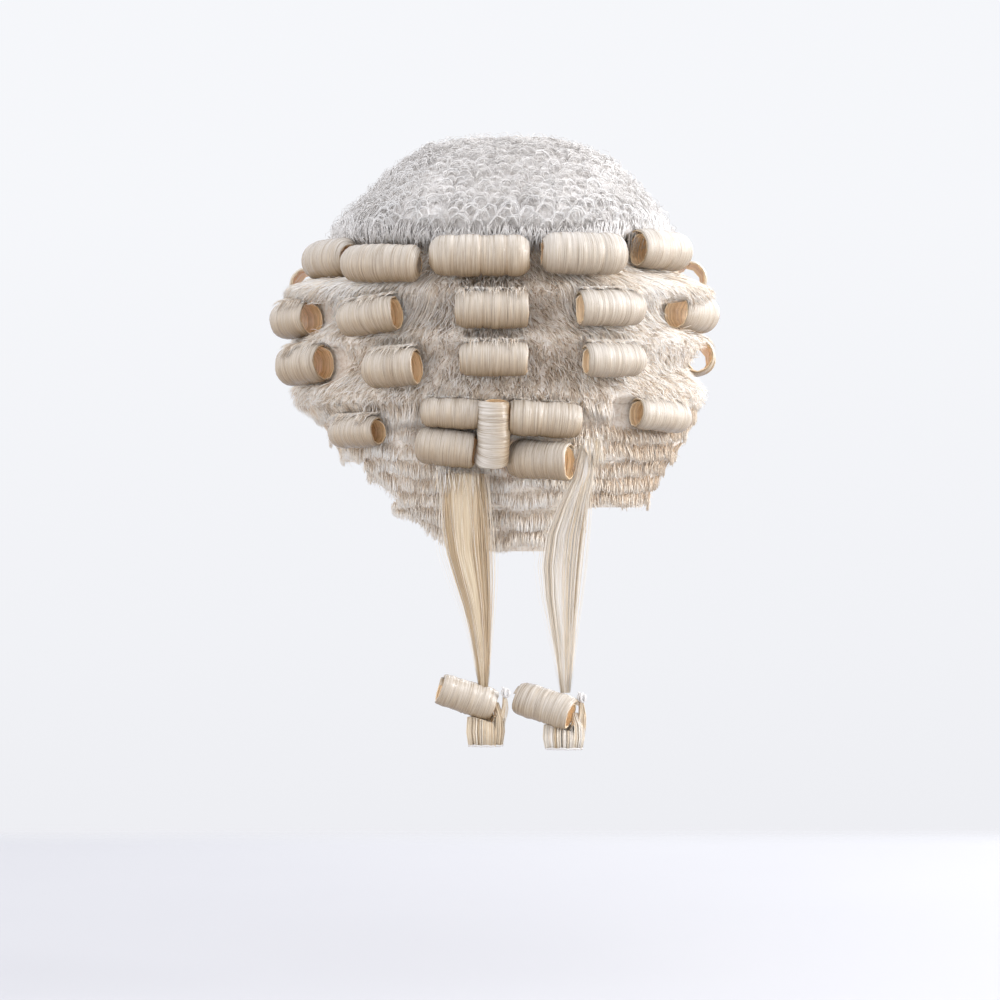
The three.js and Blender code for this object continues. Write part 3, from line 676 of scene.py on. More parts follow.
# how far the first row's ends draw in, at the lower azimuth and the higher
SHUT = {
    "curl_row1_centre": (2.6, 3.0), "curl_row1_left_1": (2.2, 1.6), "curl_row1_left_2": (2.5, 0.8),
    "curl_row1_right_1": (2.0, 2.8), "curl_row1_right_2": (3.4, 0.0), "curl_row2_centre": (0.6, 1.6),
    "curl_row3_centre": (0.6, 1.4), "curl_row2_right_1": (1.0, 0.0), "curl_row3_right_1": (1.0, 0.0),
    "curl_nape_lower_left": (0.4, 1.0), "curl_nape_upper_left": (0.2, 0.8), "curl_row4_left": (0.0, 1.5),
    "curl_row4_right": (1.5, 0.0),
}
PLUMP = {"curl_nape_lower_left": 2.0, "curl_nape_upper_left": 0.9, "curl_nape_upper_right": 0.8, "curl_nape_lower_right": 0.8}
SPLIT = {
    "curl_row1_centre": [(-0.5, 1.15), (-12.5, 0.7)], "curl_row1_right_1": [(-8, 0.6)], "curl_row1_left_1": [(7, 0.5)],
    "curl_row2_centre": [(4.5, 0.55)], "curl_nape_upper_right": [(2, 0.5)],
}
# ends that stand open: which one, how far the hair keeps off in front of it, and its share of the width
MOUTH = {
    "curl_row1_right_2": (1, 3, 0.85), "curl_row2_left_2": (-1, 7, 0.9), "curl_row2_left_1": (-1, 6, 0.85),
    "curl_row3_left_2": (-1, 7, 0.9), "curl_row3_left_1": (-1, 6, 0.85), "curl_row4_left": (-1, 7, 0.9),
    "curl_row2_right_1": (1, 4, 0.8), "curl_row2_right_2": (1, 11, 1.0), "curl_row3_right_1": (1, 4, 0.8),
    "curl_row4_right": (1, 7, 0.95),
}
THIN = ("curl_row1_left_3", "curl_row1_right_3", "curl_row3_right_2", "curl_row3_right_3")
curl_lines = []  # centre lines with their radius, which the frizz keeps off
open_lines = []  # the room in front of their open ends, which stays clear
curl_frames = []  # for the hairs that fall over them
for i, c in enumerate(CURLS):
    name, az, z, length, dia = c[:5]
    count = max(40, int(length / 0.6))
    s, p, t, across, up = curl_axis(c, count)
    dia += PLUMP.get(name, 0.0)
    v, f, uv, fibre, inner = roll(
        s, p, t, across, up, dia, 132, 1.10, 1.15, 100 + i, 1.2 * math.sin(i * 2.3), 1.0, SHUT.get(name, (0.0, 0.0)),
        SPLIT.get(name, ()),
    )
    # curls on the wearer's right take the lit copies: painted light
    look = M_RING if name in THIN else M_CURL
    if "_right" in name and name not in THIN:
        look = M_CURL_LIT_SIDE if "_row" in name else M_CURL_LIT_BORE
    Parts().add(v, outward(v, f), uv, fibre, inner).build(name + "_hair", look, "rolled_hair", [name])
    if name == "curl_row1_left_1":  # wound tighter inside at its inner end
        near = s < s[0] + 13
        v, f, uv, fibre, inner = roll(
            s[near] + 0.6, (p + 0.6 * t)[near], t[near], across[near], up[near], dia * 0.74, 100, 1.6, 0.9, 90, 1.0
        )
        Parts().add(v, outward(v, f), uv, fibre, inner * 0.25).build(name + "_core_hair", M_CURL, "rolled_hair", [name])
    curl_lines.append((p[:: max(1, count // 10)], dia / 2))
    if name in MOUTH:
        which, reach, share = MOUTH[name]
        end, out_way = (p[-1], t[-1]) if which > 0 else (p[0], -t[0])
        open_lines.append((end + out_way * np.linspace(0.5, reach, 5)[:, None], dia / 2 * share))
        if name == "curl_row2_right_2":  # and it faces out through a parting
            open_lines.append((end + np.array([0.2, 0.98, 0]) * np.linspace(0, 16, 7)[:, None], dia / 2 * 0.85))
    curl_frames.append((c, s, p, t, across, up))

n = 56
s = np.linspace(0, UPRIGHT["top"] - UPRIGHT["bottom"], n)
z = UPRIGHT["top"] - s
p = np.stack([UPRIGHT["x"] + 1.2 * ramp(s, 20, 31), form(z)[1] + UPRIGHT["off"] - 2.5 * ramp(s, 22, 31), z], -1)
t = unit(np.gradient(p, axis=0))
across = unit(np.cross(t, np.array([1.0, 0, 0])))
up = np.cross(t, across)
flare = (1 + 0.10 * ramp(s, 20, 30))[:, None]
v, f, uv, fibre, inner = roll(s - s[-1] / 2, p, t, across * flare, up * flare, UPRIGHT["dia"] + 3.0, 290, 1.12, 1.1, 171, 0.8, 0.30)
Parts().add(v, outward(v, f), uv, fibre, inner).build(
    "curl_nape_upright_hair", M_CURL, "rolled_hair", ["curl_nape_upright"]
)
curl_lines.append((p[::6], UPRIGHT["dia"] / 2 + 0.8))

for j, (which, e) in enumerate(ENDS.items()):
    n = int(e["length"] / 0.55)
    s = np.linspace(-e["length"] / 2, e["length"] / 2, n)
    dr, tu = math.radians(e["drop"]), math.radians(e["turn"])
    d = np.array([math.cos(dr) * math.cos(tu), math.cos(dr) * math.sin(tu), -math.sin(dr)])
    ac = unit(np.cross([0, 0, 1.0], d))
    p = np.array([e["x"], e["y"], e["z"]]) + s[:, None] * d
    v, f, uv, fibre, inner = roll(
        s, p, *(np.broadcast_to(x, (n, 3)) for x in (d, ac, np.cross(d, ac))), e["dia"], 150, 1.35, 1.3, 180 + j, 2.0, 1.0
    )
    # the queue curls take the lit copy with its brighter bore: painted light
    Parts().add(v, outward(v, f), uv, fibre, inner).build(
        f"queue_curl_{which}_hair", M_CURL_LIT_BORE, "rolled_hair", [f"queue_curl_{which}"]
    )

line_p = np.concatenate([a for a, _ in curl_lines])
line_r = np.concatenate([np.full(len(a), r) for a, r in curl_lines])


open_p = np.concatenate([a for a, _ in open_lines])
open_r = np.concatenate([np.full(len(a), r) for a, r in open_lines])


def opening_distance(q):
    """Distance from each point to the nearest room in front of a curl's open end."""
    near = np.empty(len(q))
    for lo in range(0, len(q), 20000):
        part = q[lo : lo + 20000]
        near[lo : lo + 20000] = (np.linalg.norm(part[:, None] - open_p[None], axis=-1) - open_r[None]).min(1)
    return near


def curl_distance(q):
    """Distance from each point to the nearest curl's face, and away from its centre line."""
    near, away = np.empty(len(q)), np.empty((len(q), 3))
    for lo in range(0, len(q), 20000):
        part = q[lo : lo + 20000]
        d = np.linalg.norm(part[:, None] - line_p[None], axis=-1) - line_r[None]
        i = d.argmin(1)
        near[lo : lo + 20000] = d[np.arange(len(part)), i]
        away[lo : lo + 20000] = unit(part - line_p[i])
    return near, away


def clear_of_curls(paths, room=0.35, most=4.0, root=-0.8):
    """Moves points out of the curls, and drops the strands that start in one or would go too far."""
    shape = paths.shape
    near, away = curl_distance(paths.reshape(-1, 3))
    push = np.clip(room - near, 0, None)
    q = (paths.reshape(-1, 3) + push[:, None] * away).reshape(shape)
    keep = (push.reshape(shape[:2]).max(1) < most) & (near.reshape(shape[:2])[:, 0] > root)
    keep &= opening_distance(q.reshape(-1, 3)).reshape(shape[:2]).min(1) > 0
    return q[keep], keep


# ---------- the frizzed crown ----------
rng = np.random.default_rng(11)
rows, cols = 34, 96
az_g, s_g = np.meshgrid(np.linspace(-180, 180, cols, endpoint=False), np.linspace(0.02, 0.985, rows))
lump = waves(3, 0.42)
p, nrm, _ = crown_frame(az_g, s_g)
outer = p - nrm * (4.0 - 0.6 * lump(p[..., 0], p[..., 1] + p[..., 2]))[..., None]
zi = -48.5 * s_g**1.7
side, back = form(zi)
inner_p = oval(side + SEAT, back + SEAT, az_g, zi + SEAT * (1 - s_g) ** 0.7)
v = np.concatenate([outer.reshape(-1, 3), inner_p[::-1].reshape(-1, 3), [[-3.6, 0, 11.3], [0, 0, SEAT]]])
k = len(v) - 2
ring = np.arange(cols)
f = np.concatenate(
    [
        sheet_faces(2 * rows, cols, True),
        np.stack([np.full(cols, k), (ring + 1) % cols, ring], -1),
        np.stack([np.full(cols, k + 1), (2 * rows - 1) * cols + ring, (2 * rows - 1) * cols + (ring + 1) % cols], -1),
    ]
)
Parts().add(v, outward(v, f), None).build("crown_base", M_UNDER_CROWN, "frizzed_hair", ["crown_frizz"], mapped=False)

# Small rings of fine hair all over it: each is a few arches about one hollow, opening
# downwards, and each row lies over the one below it. The last rows stand up taller
az_c, s_c = [], []
d = 2.0
while d < CROWN_RUN[-1] - 3.5:
    share = d / CROWN_RUN[-1]
    low = ramp(share, 0.80, 0.90)
    ring_p = crown_at(np.linspace(-180, 180, 73), share)
    girth = np.linalg.norm(np.diff(ring_p, axis=0), axis=1)
    m = max(3, int(girth.sum() / lerp(6.4, 9.0, low)))
    cum = np.r_[0, np.cumsum(girth)] / girth.sum()
    at = (np.arange(m) + rng.uniform(0, 1) + rng.uniform(-0.3, 0.3, m)) / m % 1
    az_c.append(np.interp(at, cum, np.linspace(-180, 180, 73)))
    s_c.append(np.clip((d + rng.uniform(-1.5, 1.5, m)) / CROWN_RUN[-1], 0.01, 0.95))
    d += lerp(4.7, 5.6, low)
az_c, s_c = np.concatenate(az_c), np.concatenate(s_c)
count = len(az_c)
p, nrm, up = crown_frame(az_c, s_c)
low = ramp(s_c, 0.78, 0.88) * (0.45 + 0.55 * (1 - ramp(np.abs(az_c), 30, 60)))
radius = rng.uniform(3.1, 4.8, count) * (1 + 0.20 * low)
spin = rng.normal(0, 0.42, count) * (1 - 0.75 * low)
lean = np.stack([rng.normal(0, 0.22, count), rng.normal(-0.12, 0.2, count)], -1) * (1 - 0.4 * low[:, None])
side_v = unit(np.cross(up, nrm))
axis = unit(nrm + lean[:, :1] * side_v + lean[:, 1:] * up)
u1 = unit(up - (up * axis).sum(-1, keepdims=True) * axis)
u2 = np.cross(axis, u1)
top_v = np.cos(spin)[:, None] * u1 + np.sin(spin)[:, None] * u2
right_v = np.cross(top_v, axis)
sunk = 2.9 + 1.0 * (1 - ramp(s_c, 0.1, 0.5))
centre = p - nrm * (sunk + 0.6 * rng.uniform(0, 1, count))[:, None] - 0.8 * up * (1 - low[:, None])
ring_tone = rng.normal(0, 0.10, count)


def arch(K, span, mid, r0, depth, drift, curl_in):
    th = mid[:, None] + span[:, None] * np.linspace(-0.5, 0.5, K)[None]
    shrink = 1 - curl_in[:, None] * np.linspace(0, 1, K)[None] ** 2
    x = r0[:, None] * (1 + 0.10 * low)[:, None] * shrink * np.sin(th)
    y = r0[:, None] * (1 + 0.55 * low)[:, None] * shrink * np.cos(th)
    dep = depth[:, None] + drift[:, None] * np.linspace(-0.5, 0.5, K)[None] - 1.7 * np.sin(th / 2) ** 2
    return centre[:, None] + x[..., None] * right_v[:, None] + y[..., None] * top_v[:, None] + dep[..., None] * axis[:, None]


K = 6
halves = [Parts(), Parts()]
fractions = [1.0, 0.86, 0.70, 0.95, 0.52, 0.80]
for k, fr in enumerate(fractions):
    frac = np.where(low > 0.5, lerp(fr, 0.93, 0.62), fr)
    q = arch(
        K, rng.uniform(3.0, 5.6, count), rng.normal(0, 0.35, count) * (1 - 0.6 * low), radius * frac * rng.uniform(0.93, 1.07, count),
        1.5 * (fr - 0.4) + rng.normal(0.4, 0.4, count), rng.normal(0, 1.0, count), rng.uniform(-0.05, 0.35, count),
    )
    w = rng.uniform(0.13, 0.27, count)[:, None] * np.array([0.6, 1, 1, 1, 0.9, 0.5])[None]
    q, keep = clear_of_curls(q, 0.3, 4.5)
    some = (np.abs(az_c[keep]) < 105) | (k < 4)  # fewer over the forehead
    q, keep = q[some], np.flatnonzero(keep)[some]
    # painted light on the wearer's left and towards the rim, painted shade towards the top; the smaller inner arches of
    # a ring come out darker by fr, painted shade in its hollow
    painted_crown_light = 0.22 * low + 0.22 * ramp(centre[:, 0], 0.0, 60.0) - 0.34 * (1 - ramp(s_c, 0.25, 0.70))
    tone = np.clip(0.30 + 0.42 * fr + ring_tone + painted_crown_light + rng.normal(0, 0.12, count), 0, 1)
    piece = strands(q, w[keep], tone[keep], axis[keep], flat=1.0)
    halves[k % 2].add(*piece)
halves[0].build("crown_rings_a", M_CROWN, "frizzed_hair", ["crown_frizz"])
halves[1].build("crown_rings_b", M_CROWN, "frizzed_hair", ["crown_frizz"])

# Loose hairs between them, and the hair drawn down behind the first row
count = 1700
s_l = np.sqrt(rng.uniform(0.0, 0.90, count))
az_l = rng.uniform(-180, 180, count)
p, nrm, up = crown_frame(az_l, s_l, 3.6)
side_v = np.cross(up, nrm)
ang = rng.uniform(0, 2 * math.pi, count)
d = np.cos(ang)[:, None] * side_v + np.sin(ang)[:, None] * up
curve = np.cross(d, nrm) * rng.choice([-1, 1], count)[:, None]
L = rng.uniform(4, 9, count)
tt = np.linspace(0, 1, 4)
q = (
    p[:, None]
    + (L[:, None] * tt)[..., None] * d[:, None]
    + (L[:, None] * 0.5 * tt**2)[..., None] * curve[:, None]
    + (3.8 * np.sin(tt * 2.4) * rng.uniform(0.5, 1.25, (count, 1)))[..., None] * nrm[:, None]
)
w = rng.uniform(0.09, 0.17, count)[:, None] * np.array([1, 1, 0.85, 0.3])[None]
q, keep = clear_of_curls(q, 0.3, 3.0)
loose = Parts().add(*strands(q, w[keep], np.clip(rng.normal(0.7, 0.2, keep.sum()), 0, 1), nrm[keep]))
count = 4000
az_l = np.where(rng.uniform(0, 1, count) < 0.84, rng.uniform(-125, 125, count), rng.uniform(125, 235, count))
az_l = (az_l + 180) % 360 - 180
tall = ramp(np.abs(az_l), 18, 42)
s0 = rng.uniform(lerp(0.93, 0.80, tall), 0.975, count)
p0, n0, _ = crown_frame(az_l, s0, 2.6)
az1 = az_l + rng.normal(0, 1.7, count)
z1 = rng.uniform(-58, -50, count)
hang = np.where(np.abs(az1) < EDGE_AZ, 1.0, 0.35)
z1 = lerp(-47, z1, hang)
p1 = off_form(z1, rng.uniform(9, 13.0, count), az1)
pm, nm, _ = crown_frame((az_l + az1) / 2, np.minimum((s0 + 1) / 2, 0.985), 1.0)
q = np.stack([p0, lerp(p0, pm, 0.6) + nm * 0.8, lerp(pm, p1, 0.2) + nm * rng.uniform(-0.8, 0.7, (count, 1)), p1], 1)
w = rng.uniform(0.16, 0.34, count)[:, None] * np.array([0.8, 1, 1, 0.4])[None]
q, keep = clear_of_curls(q, 0.3, 7.0)
loose.add(*strands(q, w[keep], np.clip(rng.normal(0.74, 0.2, keep.sum()), 0, 1), n0[keep]))
loose.build("crown_loose_hairs", M_CROWN, "frizzed_hair", ["crown_frizz"])


# ---------- the cut tiers ----------
def tier_base(t, name):
    az_n = max(12, int((t["to"] - t["from"]) / 2))
    az = np.linspace(t["from"] + 0.5, t["to"] - 0.5, az_n)
    foot = tier_foot(t, az)
    down = np.linspace(0, 1, 15)
    a = az[:, None] + 0 * down[None]
    z = lerp(t["top"] + 0.35, foot[:, None] - 0.25, down[None])
    off = hair_off(a, z) - 2.6 + 0.5 * waves(9, 0.5)(a * 1.6, z)
    for _ in range(26):  # sinks in behind the curls
        face = off_form(z, off, a).reshape(-1, 3)
        near = np.minimum(curl_distance(face)[0], opening_distance(face))
        off = np.maximum(off + 0.8 * np.minimum(near.reshape(off.shape) - 0.4, 0), SEAT + 0.5)
    out = off_form(z, off, a)
    zi = lerp(foot[:, None] - 0.25, t["top"] + 0.35, np.linspace(0, 1, 3)[None])
    inn = off_form(zi, SEAT + 0 * zi, az[:, None] + 0 * zi)
    grid = np.concatenate([out, inn], 1)
    n, m = grid.shape[:2]
    f = np.concatenate([sheet_faces(n, m, True), ribbon_caps(n, m, 15)])
    v = grid.reshape(-1, 3)
    Parts().add(v, outward(v, f), None).build(name + "_base", M_UNDER, "frizzed_hair", [name], mapped=False)


fan_field, tuft_field, dark_field = waves(21, 0.05), waves(22, 0.35), waves(24, 0.11)
FAN_LEFT = {"frizz_tier_1": 0.95, "frizz_tier_2": 0.7, "frizz_tier_3": 0.6, "frizz_tier_4": 0.30, "frizz_tier_5": 0.15, "nape_fringe": 0.05}
FAN_RIGHT = {"frizz_tier_1": 1.15, "frizz_tier_2": 0.85, "frizz_tier_3": 0.7, "frizz_tier_4": 0.35, "frizz_tier_5": 0.2, "nape_fringe": 0.0}


def heading_at(name, az, z):
    """The way the hair runs: 0 is straight down, more is towards the nearer side."""
    amount = np.where(az > 0, FAN_LEFT[name], FAN_RIGHT[name])
    fan = np.clip(az / 46, -1, 1) * amount * (1 - 0.45 * ramp(np.abs(az), 78, 117))
    if name == "frizz_tier_1":
        fan = fan * lerp(1.15, 0.75, ramp(-z, 54, 74))
    return fan


def frizz(name, t, count, r, length, girth, low, high, spread, K=3, flat=0.6, tufts=1.0):
    """Hairs that run down and out over a tier, and on over the next one's top."""
    az0 = r.uniform(t["from"], t["to"], count)
    foot = tier_foot(t, az0)
    z0 = lerp(t["top"] + 1.5, foot + 0.5, r.uniform(0, 1, count))
    cell = np.floor(az0 / 1.9) * 131 + np.floor((z0 + 0.35 * az0) / 3.4) * 17
    _, idx = np.unique(cell, return_inverse=True)
    m = idx.max() + 1
    mean_az = np.bincount(idx, az0, m) / np.bincount(idx, minlength=m)
    t_side, t_len, t_lift, t_tone = (r.normal(0, 1, m)[idx] for _ in range(4))
    L = np.clip(length * (1 + 0.16 * t_len) + r.normal(0, 0.14 * length, count), 2.5, 40)
    head = heading_at(name, az0, z0) + 0.20 * tufts * t_side + 0.14 * fan_field(az0, z0) + r.normal(0, spread, count)
    ends = {"frizz_tier_1": (30, 31), "frizz_tier_2": (30, 31), "frizz_tier_3": (0.5, 6.5), "frizz_tier_4": (0, 5)}
    cut = foot - r.uniform(*ends.get(name, (-0.5, 3.0)), count) - 0.8 * t_len
    dz = L * np.cos(head)
    scale = np.where(dz < 0.5, 1, np.clip((z0 - cut) / np.maximum(dz, 1e-3), 0, 1))
    keep = scale > 0.3
    k = np.linspace(0, 1, K)
    z = z0[:, None] - (dz * scale)[:, None] * k
    az = az0[:, None] + (np.degrees(L * np.sin(head) / 108) * scale)[:, None] * k
    az = az + (0.35 * tufts * (mean_az[idx] - az0))[:, None] * k**2
    top = high + 0.7 * tufts * t_lift + r.normal(0, 0.5, count)
    off = hair_off(az, z) + low + (top - low)[:, None] * k**0.8
    q = off_form(z, off, az)
    w = r.uniform(*girth, count)[:, None] * np.linspace(1.0, 0.5, K)[None]
    # painted shade under the first row near az -6 above z -74; the darker column near az -14 down to z -124 is partly
    # painted shade, partly darker hair
    shade_and_dark_hair = 0.26 * np.exp(-(((az0 + 14) / 12) ** 2)) * (z0 > -124) + 0.22 * np.exp(-(((az0 + 6) / 18) ** 2)) * (z0 > -74)
    tone = 0.62 + 0.13 * t_tone + 0.07 * tuft_field(az0, z0) + 0.08 * dark_field(az0, z0) - shade_and_dark_hair + r.normal(0, 0.24, count)
    tone = tone - 0.16 * ramp(-az0, 45, 75)
    ref = unit(q[:, 1] * np.array([1, 1, 0.0]))
    q, w, tone, ref = q[keep], w[keep], np.clip(tone[keep], 0, 1), ref[keep]
    q, keep = clear_of_curls(q, 0.3, 3.0)
    return strands(q, w[keep], tone[keep], ref[keep], flat=flat)


def sweep(count, r, left):
    """The long straight hair that fans out from under the first row, towards one side."""
    az0 = r.uniform(14, 98, count)
    low = 74 if left else 71
    z0 = r.uniform(-low, -61, count)
    side = 1.0 if left else -1.0
    head = lerp(0.55, 1.36 if not left else 1.28, ramp(az0, 12, 48)) * lerp(1.0, 0.62, ramp(-z0, low - 9, low + 3)) + r.normal(0, 0.09, count)
    L = r.uniform(14, 32, count) * lerp(0.75, 1.0, ramp(az0, 15, 45)) * lerp(1.0, 0.55, ramp(az0, 70, 98))
    k = np.linspace(0, 1, 5)
    z = z0[:, None] - (L * np.cos(head))[:, None] * k - 2.5 * k[None] ** 2
    az = side * (az0[:, None] + np.degrees(L * np.sin(head) / 112)[:, None] * k)
    off = hair_off(az, z) + (-2.8 + 4.4 * k[None] ** 0.8) + r.normal(0, 0.5, (count, 1)) * k
    q = off_form(z, off, az)
    w = r.uniform(0.16, 0.34, count)[:, None] * np.array([1, 1, 0.95, 0.75, 0.4])[None]
    tone = 0.62 + 0.12 * dark_field(az0 * 3, z0 * 2) + r.normal(0, 0.22, count)
    tone = np.clip(tone if left else tone - 0.26 * ramp(az0, 20, 50), 0, 1)
    ref = unit(q[:, 2] * np.array([1, 1, 0.0]))
    q, keep = clear_of_curls(q, 0.35, 4.0, -4.0)
    return strands(q, w[keep], tone[keep], ref[keep], flat=0.7)


def flap(r, count, azimuths, tops, ends, lean, lift=0.6):
    """A lock of cut frizz that hangs free over what is below."""
    az0 = r.uniform(*azimuths, count)
    z0 = r.uniform(*tops, count)
    share = (az0 - azimuths[0]) / (azimuths[1] - azimuths[0])
    z1 = lerp(ends[1], ends[0], np.sin(math.pi * share) ** 0.6) + r.normal(0, 0.8, count) + 0.8 * tuft_field(az0, z0 * 0)
    k = np.linspace(0, 1, 4)
    z = z0[:, None] + (z1 - z0)[:, None] * k
    az = az0[:, None] + np.degrees((z0 - z1) * (lean * 0.5 + r.normal(0, 0.12, count)) / 108)[:, None] * k
    off = hair_off(az, np.maximum(z, z0[:, None] - 4)) + (-2.2 + (2.2 + lift) * k[None] ** 0.6) - 0.5 * k[None] ** 2 + r.uniform(-1.0, 0.5, (count, 1))
    q = off_form(z, off, az)
    w = r.uniform(0.14, 0.28, count)[:, None] * np.array([1, 1, 0.9, 0.6])[None]
    tone = np.clip(0.6 + 0.08 * tuft_field(az0, z0) + r.normal(0, 0.18, count), 0, 1)
    ref = unit(q[:, 1] * np.array([1, 1, 0.0]))
    q, keep = clear_of_curls(q, 0.3, 2.5)
    return strands(q, w[keep], tone[keep], ref[keep], flat=0.7)


def thatch(name, t, count, r):
    """Short cut courses: every hair ends at its own course's edge."""
    az0 = r.uniform(t["from"], t["to"], count)
    foot = tier_foot(t, az0)
    c = t["courses"]
    i = r.integers(0, c, count)
    depth = (t["top"] - foot) / c
    wave = 0.9 * tuft_field(az0 * 0.7, i * 7.0) + 0.7 * fan_field(az0 * 3, i * 5.0)
    z_end = t["top"] - depth * (i + 1) + r.normal(0, 0.5, count) + wave
    z0 = z_end + np.minimum(r.uniform(3.5, 8.5, count), depth + 2.5)
    head = heading_at(name, az0, z0) + r.normal(0, 0.16, count)
    k = np.linspace(0, 1, 3)
    z = z0[:, None] + (z_end - z0)[:, None] * k
    az = az0[:, None] + np.degrees((z0 - z_end) * np.tan(head) / 100)[:, None] * k
    edge = tier_off(t, az, np.maximum((t["top"] - depth * (i + 0.9))[:, None] + 0 * z, foot[:, None]), 1.7)
    edge = np.maximum(edge, hair_off(az, z) - 0.4)
    off = edge - 1.1 * (1 - k[None]) ** 1.3 + r.uniform(-1.0, 0.4, (count, 1))
    q = off_form(z, off, az)
    w = r.uniform(0.15, 0.32, count)[:, None] * np.array([1, 0.95, 0.75])[None]
    # darker towards the wearer's right: painted shade under the right curl of row 4
    tone = np.clip(0.64 + 0.09 * dark_field(az0 * 2, z0) - 0.55 * ramp(-az0, 12, 40) + r.normal(0, 0.17, count), 0, 1)
    q, keep = clear_of_curls(q, 0.3, 2.0)
    ref = unit(q[:, 1] * np.array([1, 1, 0.0]))
    return strands(q, w[keep], tone[keep], ref, blunt=True, flat=0.7)


total = 0
for i, (name, t) in enumerate(TIERS.items()):
    tier_base(t, name)
    r = np.random.default_rng(300 + i)
    area = math.radians(t["to"] - t["from"]) * 108 * (t["top"] - t["bottom"])
    part = Parts()
    if t["courses"] == 1:
        part.add(*frizz(name, t, int(area * 0.15), r, 8.5, (0.32, 0.60), -3.0, -1.1, 0.20, flat=0.35))
        part.add(*frizz(name, t, int(area * 0.38), r, 7.2, (0.18, 0.37), -2.8, 1.2, 0.38))
        part.add(*frizz(name, t, int(area * 0.13), r, 6.5, (0.12, 0.24), -1.5, 3.0, 0.62, tufts=0.4))
    else:
        part.add(*thatch(name, t, int(area * 0.52), r))
        part.add(*frizz(name, t, int(area * 0.13), r, 6.0, (0.10, 0.22), -2.0, 1.2, 0.30))
    if name == "frizz_tier_1":
        part.add(*sweep(1700, r, True))
        part.add(*sweep(1700, r, False))
    if name == "frizz_tier_3":  # hangs lower beside the nape curls
        part.add(*flap(r, 900, (8.5, 34), (-131, -124), (-143, -136), 0.4))
        part.add(*flap(r, 700, (-44, -21), (-131, -124), (-140, -133), -0.5))
    if name == "frizz_tier_5":  # and over the root of the left queue
        part.add(*flap(r, 420, (3.5, 17.5), (-157, -150), (-170, -163), 0.05, 1.5))
    if t["to"] == 117:
        for side in (-1, 1):
            count = 230
            z0 = r.uniform(t["bottom"] + 1, t["top"], count)
            deep = hair_off(np.full(count, side * 116.5), z0) - 2.6
            off0 = lerp(SEAT + 0.8, deep, r.uniform(0, 1, count))
            k = np.linspace(0, 1, 3)
            az = side * (115.6 + r.uniform(1.8, 4.2, (count, 1)) * k[None])
            z = z0[:, None] - r.uniform(1.5, 6.0, (count, 1)) * k[None] ** 1.2
            q = off_form(z, off0[:, None] + r.normal(0, 1.0, (count, 1)) * k[None], az)
            w = r.uniform(0.22, 0.42, count)[:, None] * np.array([1, 0.9, 0.6])[None]
            tone = np.clip(r.normal(0.55, 0.22, count), 0, 1)
            part.add(*strands(q, w, tone, np.tile([0.0, 0.3, 1.0], (count, 1)), flat=0.6))
    total += part.count()
    part.build(name + "_strands", M_FRIZZ, "frizzed_hair", [name])
print("tier strand triangles", total)

# Hairs of the frizz that fall over the tops of the rolled curls
r = np.random.default_rng(350)
part = Parts()
for c, s, p, t, across, up in curl_frames:
    name, az = c[0], c[1]
    if name.startswith("curl_row1"):
        continue
    if "nape_lower" in name:
        continue
    nape = "nape" in name
    count = int(c[3] * (2.2 if nape else 8.0))
    s0 = r.uniform(s[0] + 0.8, s[-1] - 0.8, count)
    s1 = np.clip(s0 + 4.0 * (np.sign(az) * np.clip(abs(az) / 46, 0, 1) * 0.6 + r.normal(0, 0.35, count)), s[0] + 0.3, s[-1] - 0.3)
    pick = lambda arr, at: np.stack([np.interp(at, s, arr[:, i]) for i in range(3)], -1)
    c0, c1 = pick(p, s0), pick(p, s1)
    az_r = np.degrees(np.arctan2(c0[:, 0], c0[:, 1]))
    z_r = c0[:, 2] + c[4] / 2 + r.uniform(0.8, 6.0, count)
    root = off_form(z_r, hair_off(az_r, z_r) - 1.2, az_r)
    face = lambda centre, at, ang, rad: centre + rad[:, None] * (
        np.cos(ang)[:, None] * pick(across, at) + np.sin(ang)[:, None] * pick(up, at)
    )
    ragged = waves(int(abs(az) * 10) + 5, 0.45)(s0, s0 * 0.2) + 0.5 * waves(int(abs(az) * 10) + 6, 1.6)(s0, s0)
    reach = 14 if nape else 46
    a1 = np.radians(np.clip(80 - reach * r.uniform(0, 1.0, count) ** 1.05 + (4 if nape else 20) * ragged, 14, 90))
    top_p = face(c0, s0, np.radians(r.uniform(92, 104, count)), c[4] / 2 + r.uniform(0.4, 1.9, count))
    end_p = face(c1, s1, a1, c[4] / 2 + r.uniform(0.4, 1.6, count))
    half = lerp(np.radians(96), a1, 0.55)
    mid_p = face(0.5 * (c0 + c1), 0.5 * (s0 + s1), half, c[4] / 2 + r.uniform(0.7, 1.7, count))
    q = np.stack([root, top_p, mid_p, end_p], 1)
    w = r.uniform(0.12, 0.27, count)[:, None] * np.array([1.0, 1.0, 0.85, 0.3])[None]
    part.add(*strands(q, w, np.clip(r.normal(0.50, 0.24, count) + 0.12 * ragged, 0, 1), pick(across, s0), flat=0.8, v0=0.36))
part.build("frizz_over_curls", M_FRIZZ, "frizzed_hair", [n for n in TIERS if n != "nape_fringe"])


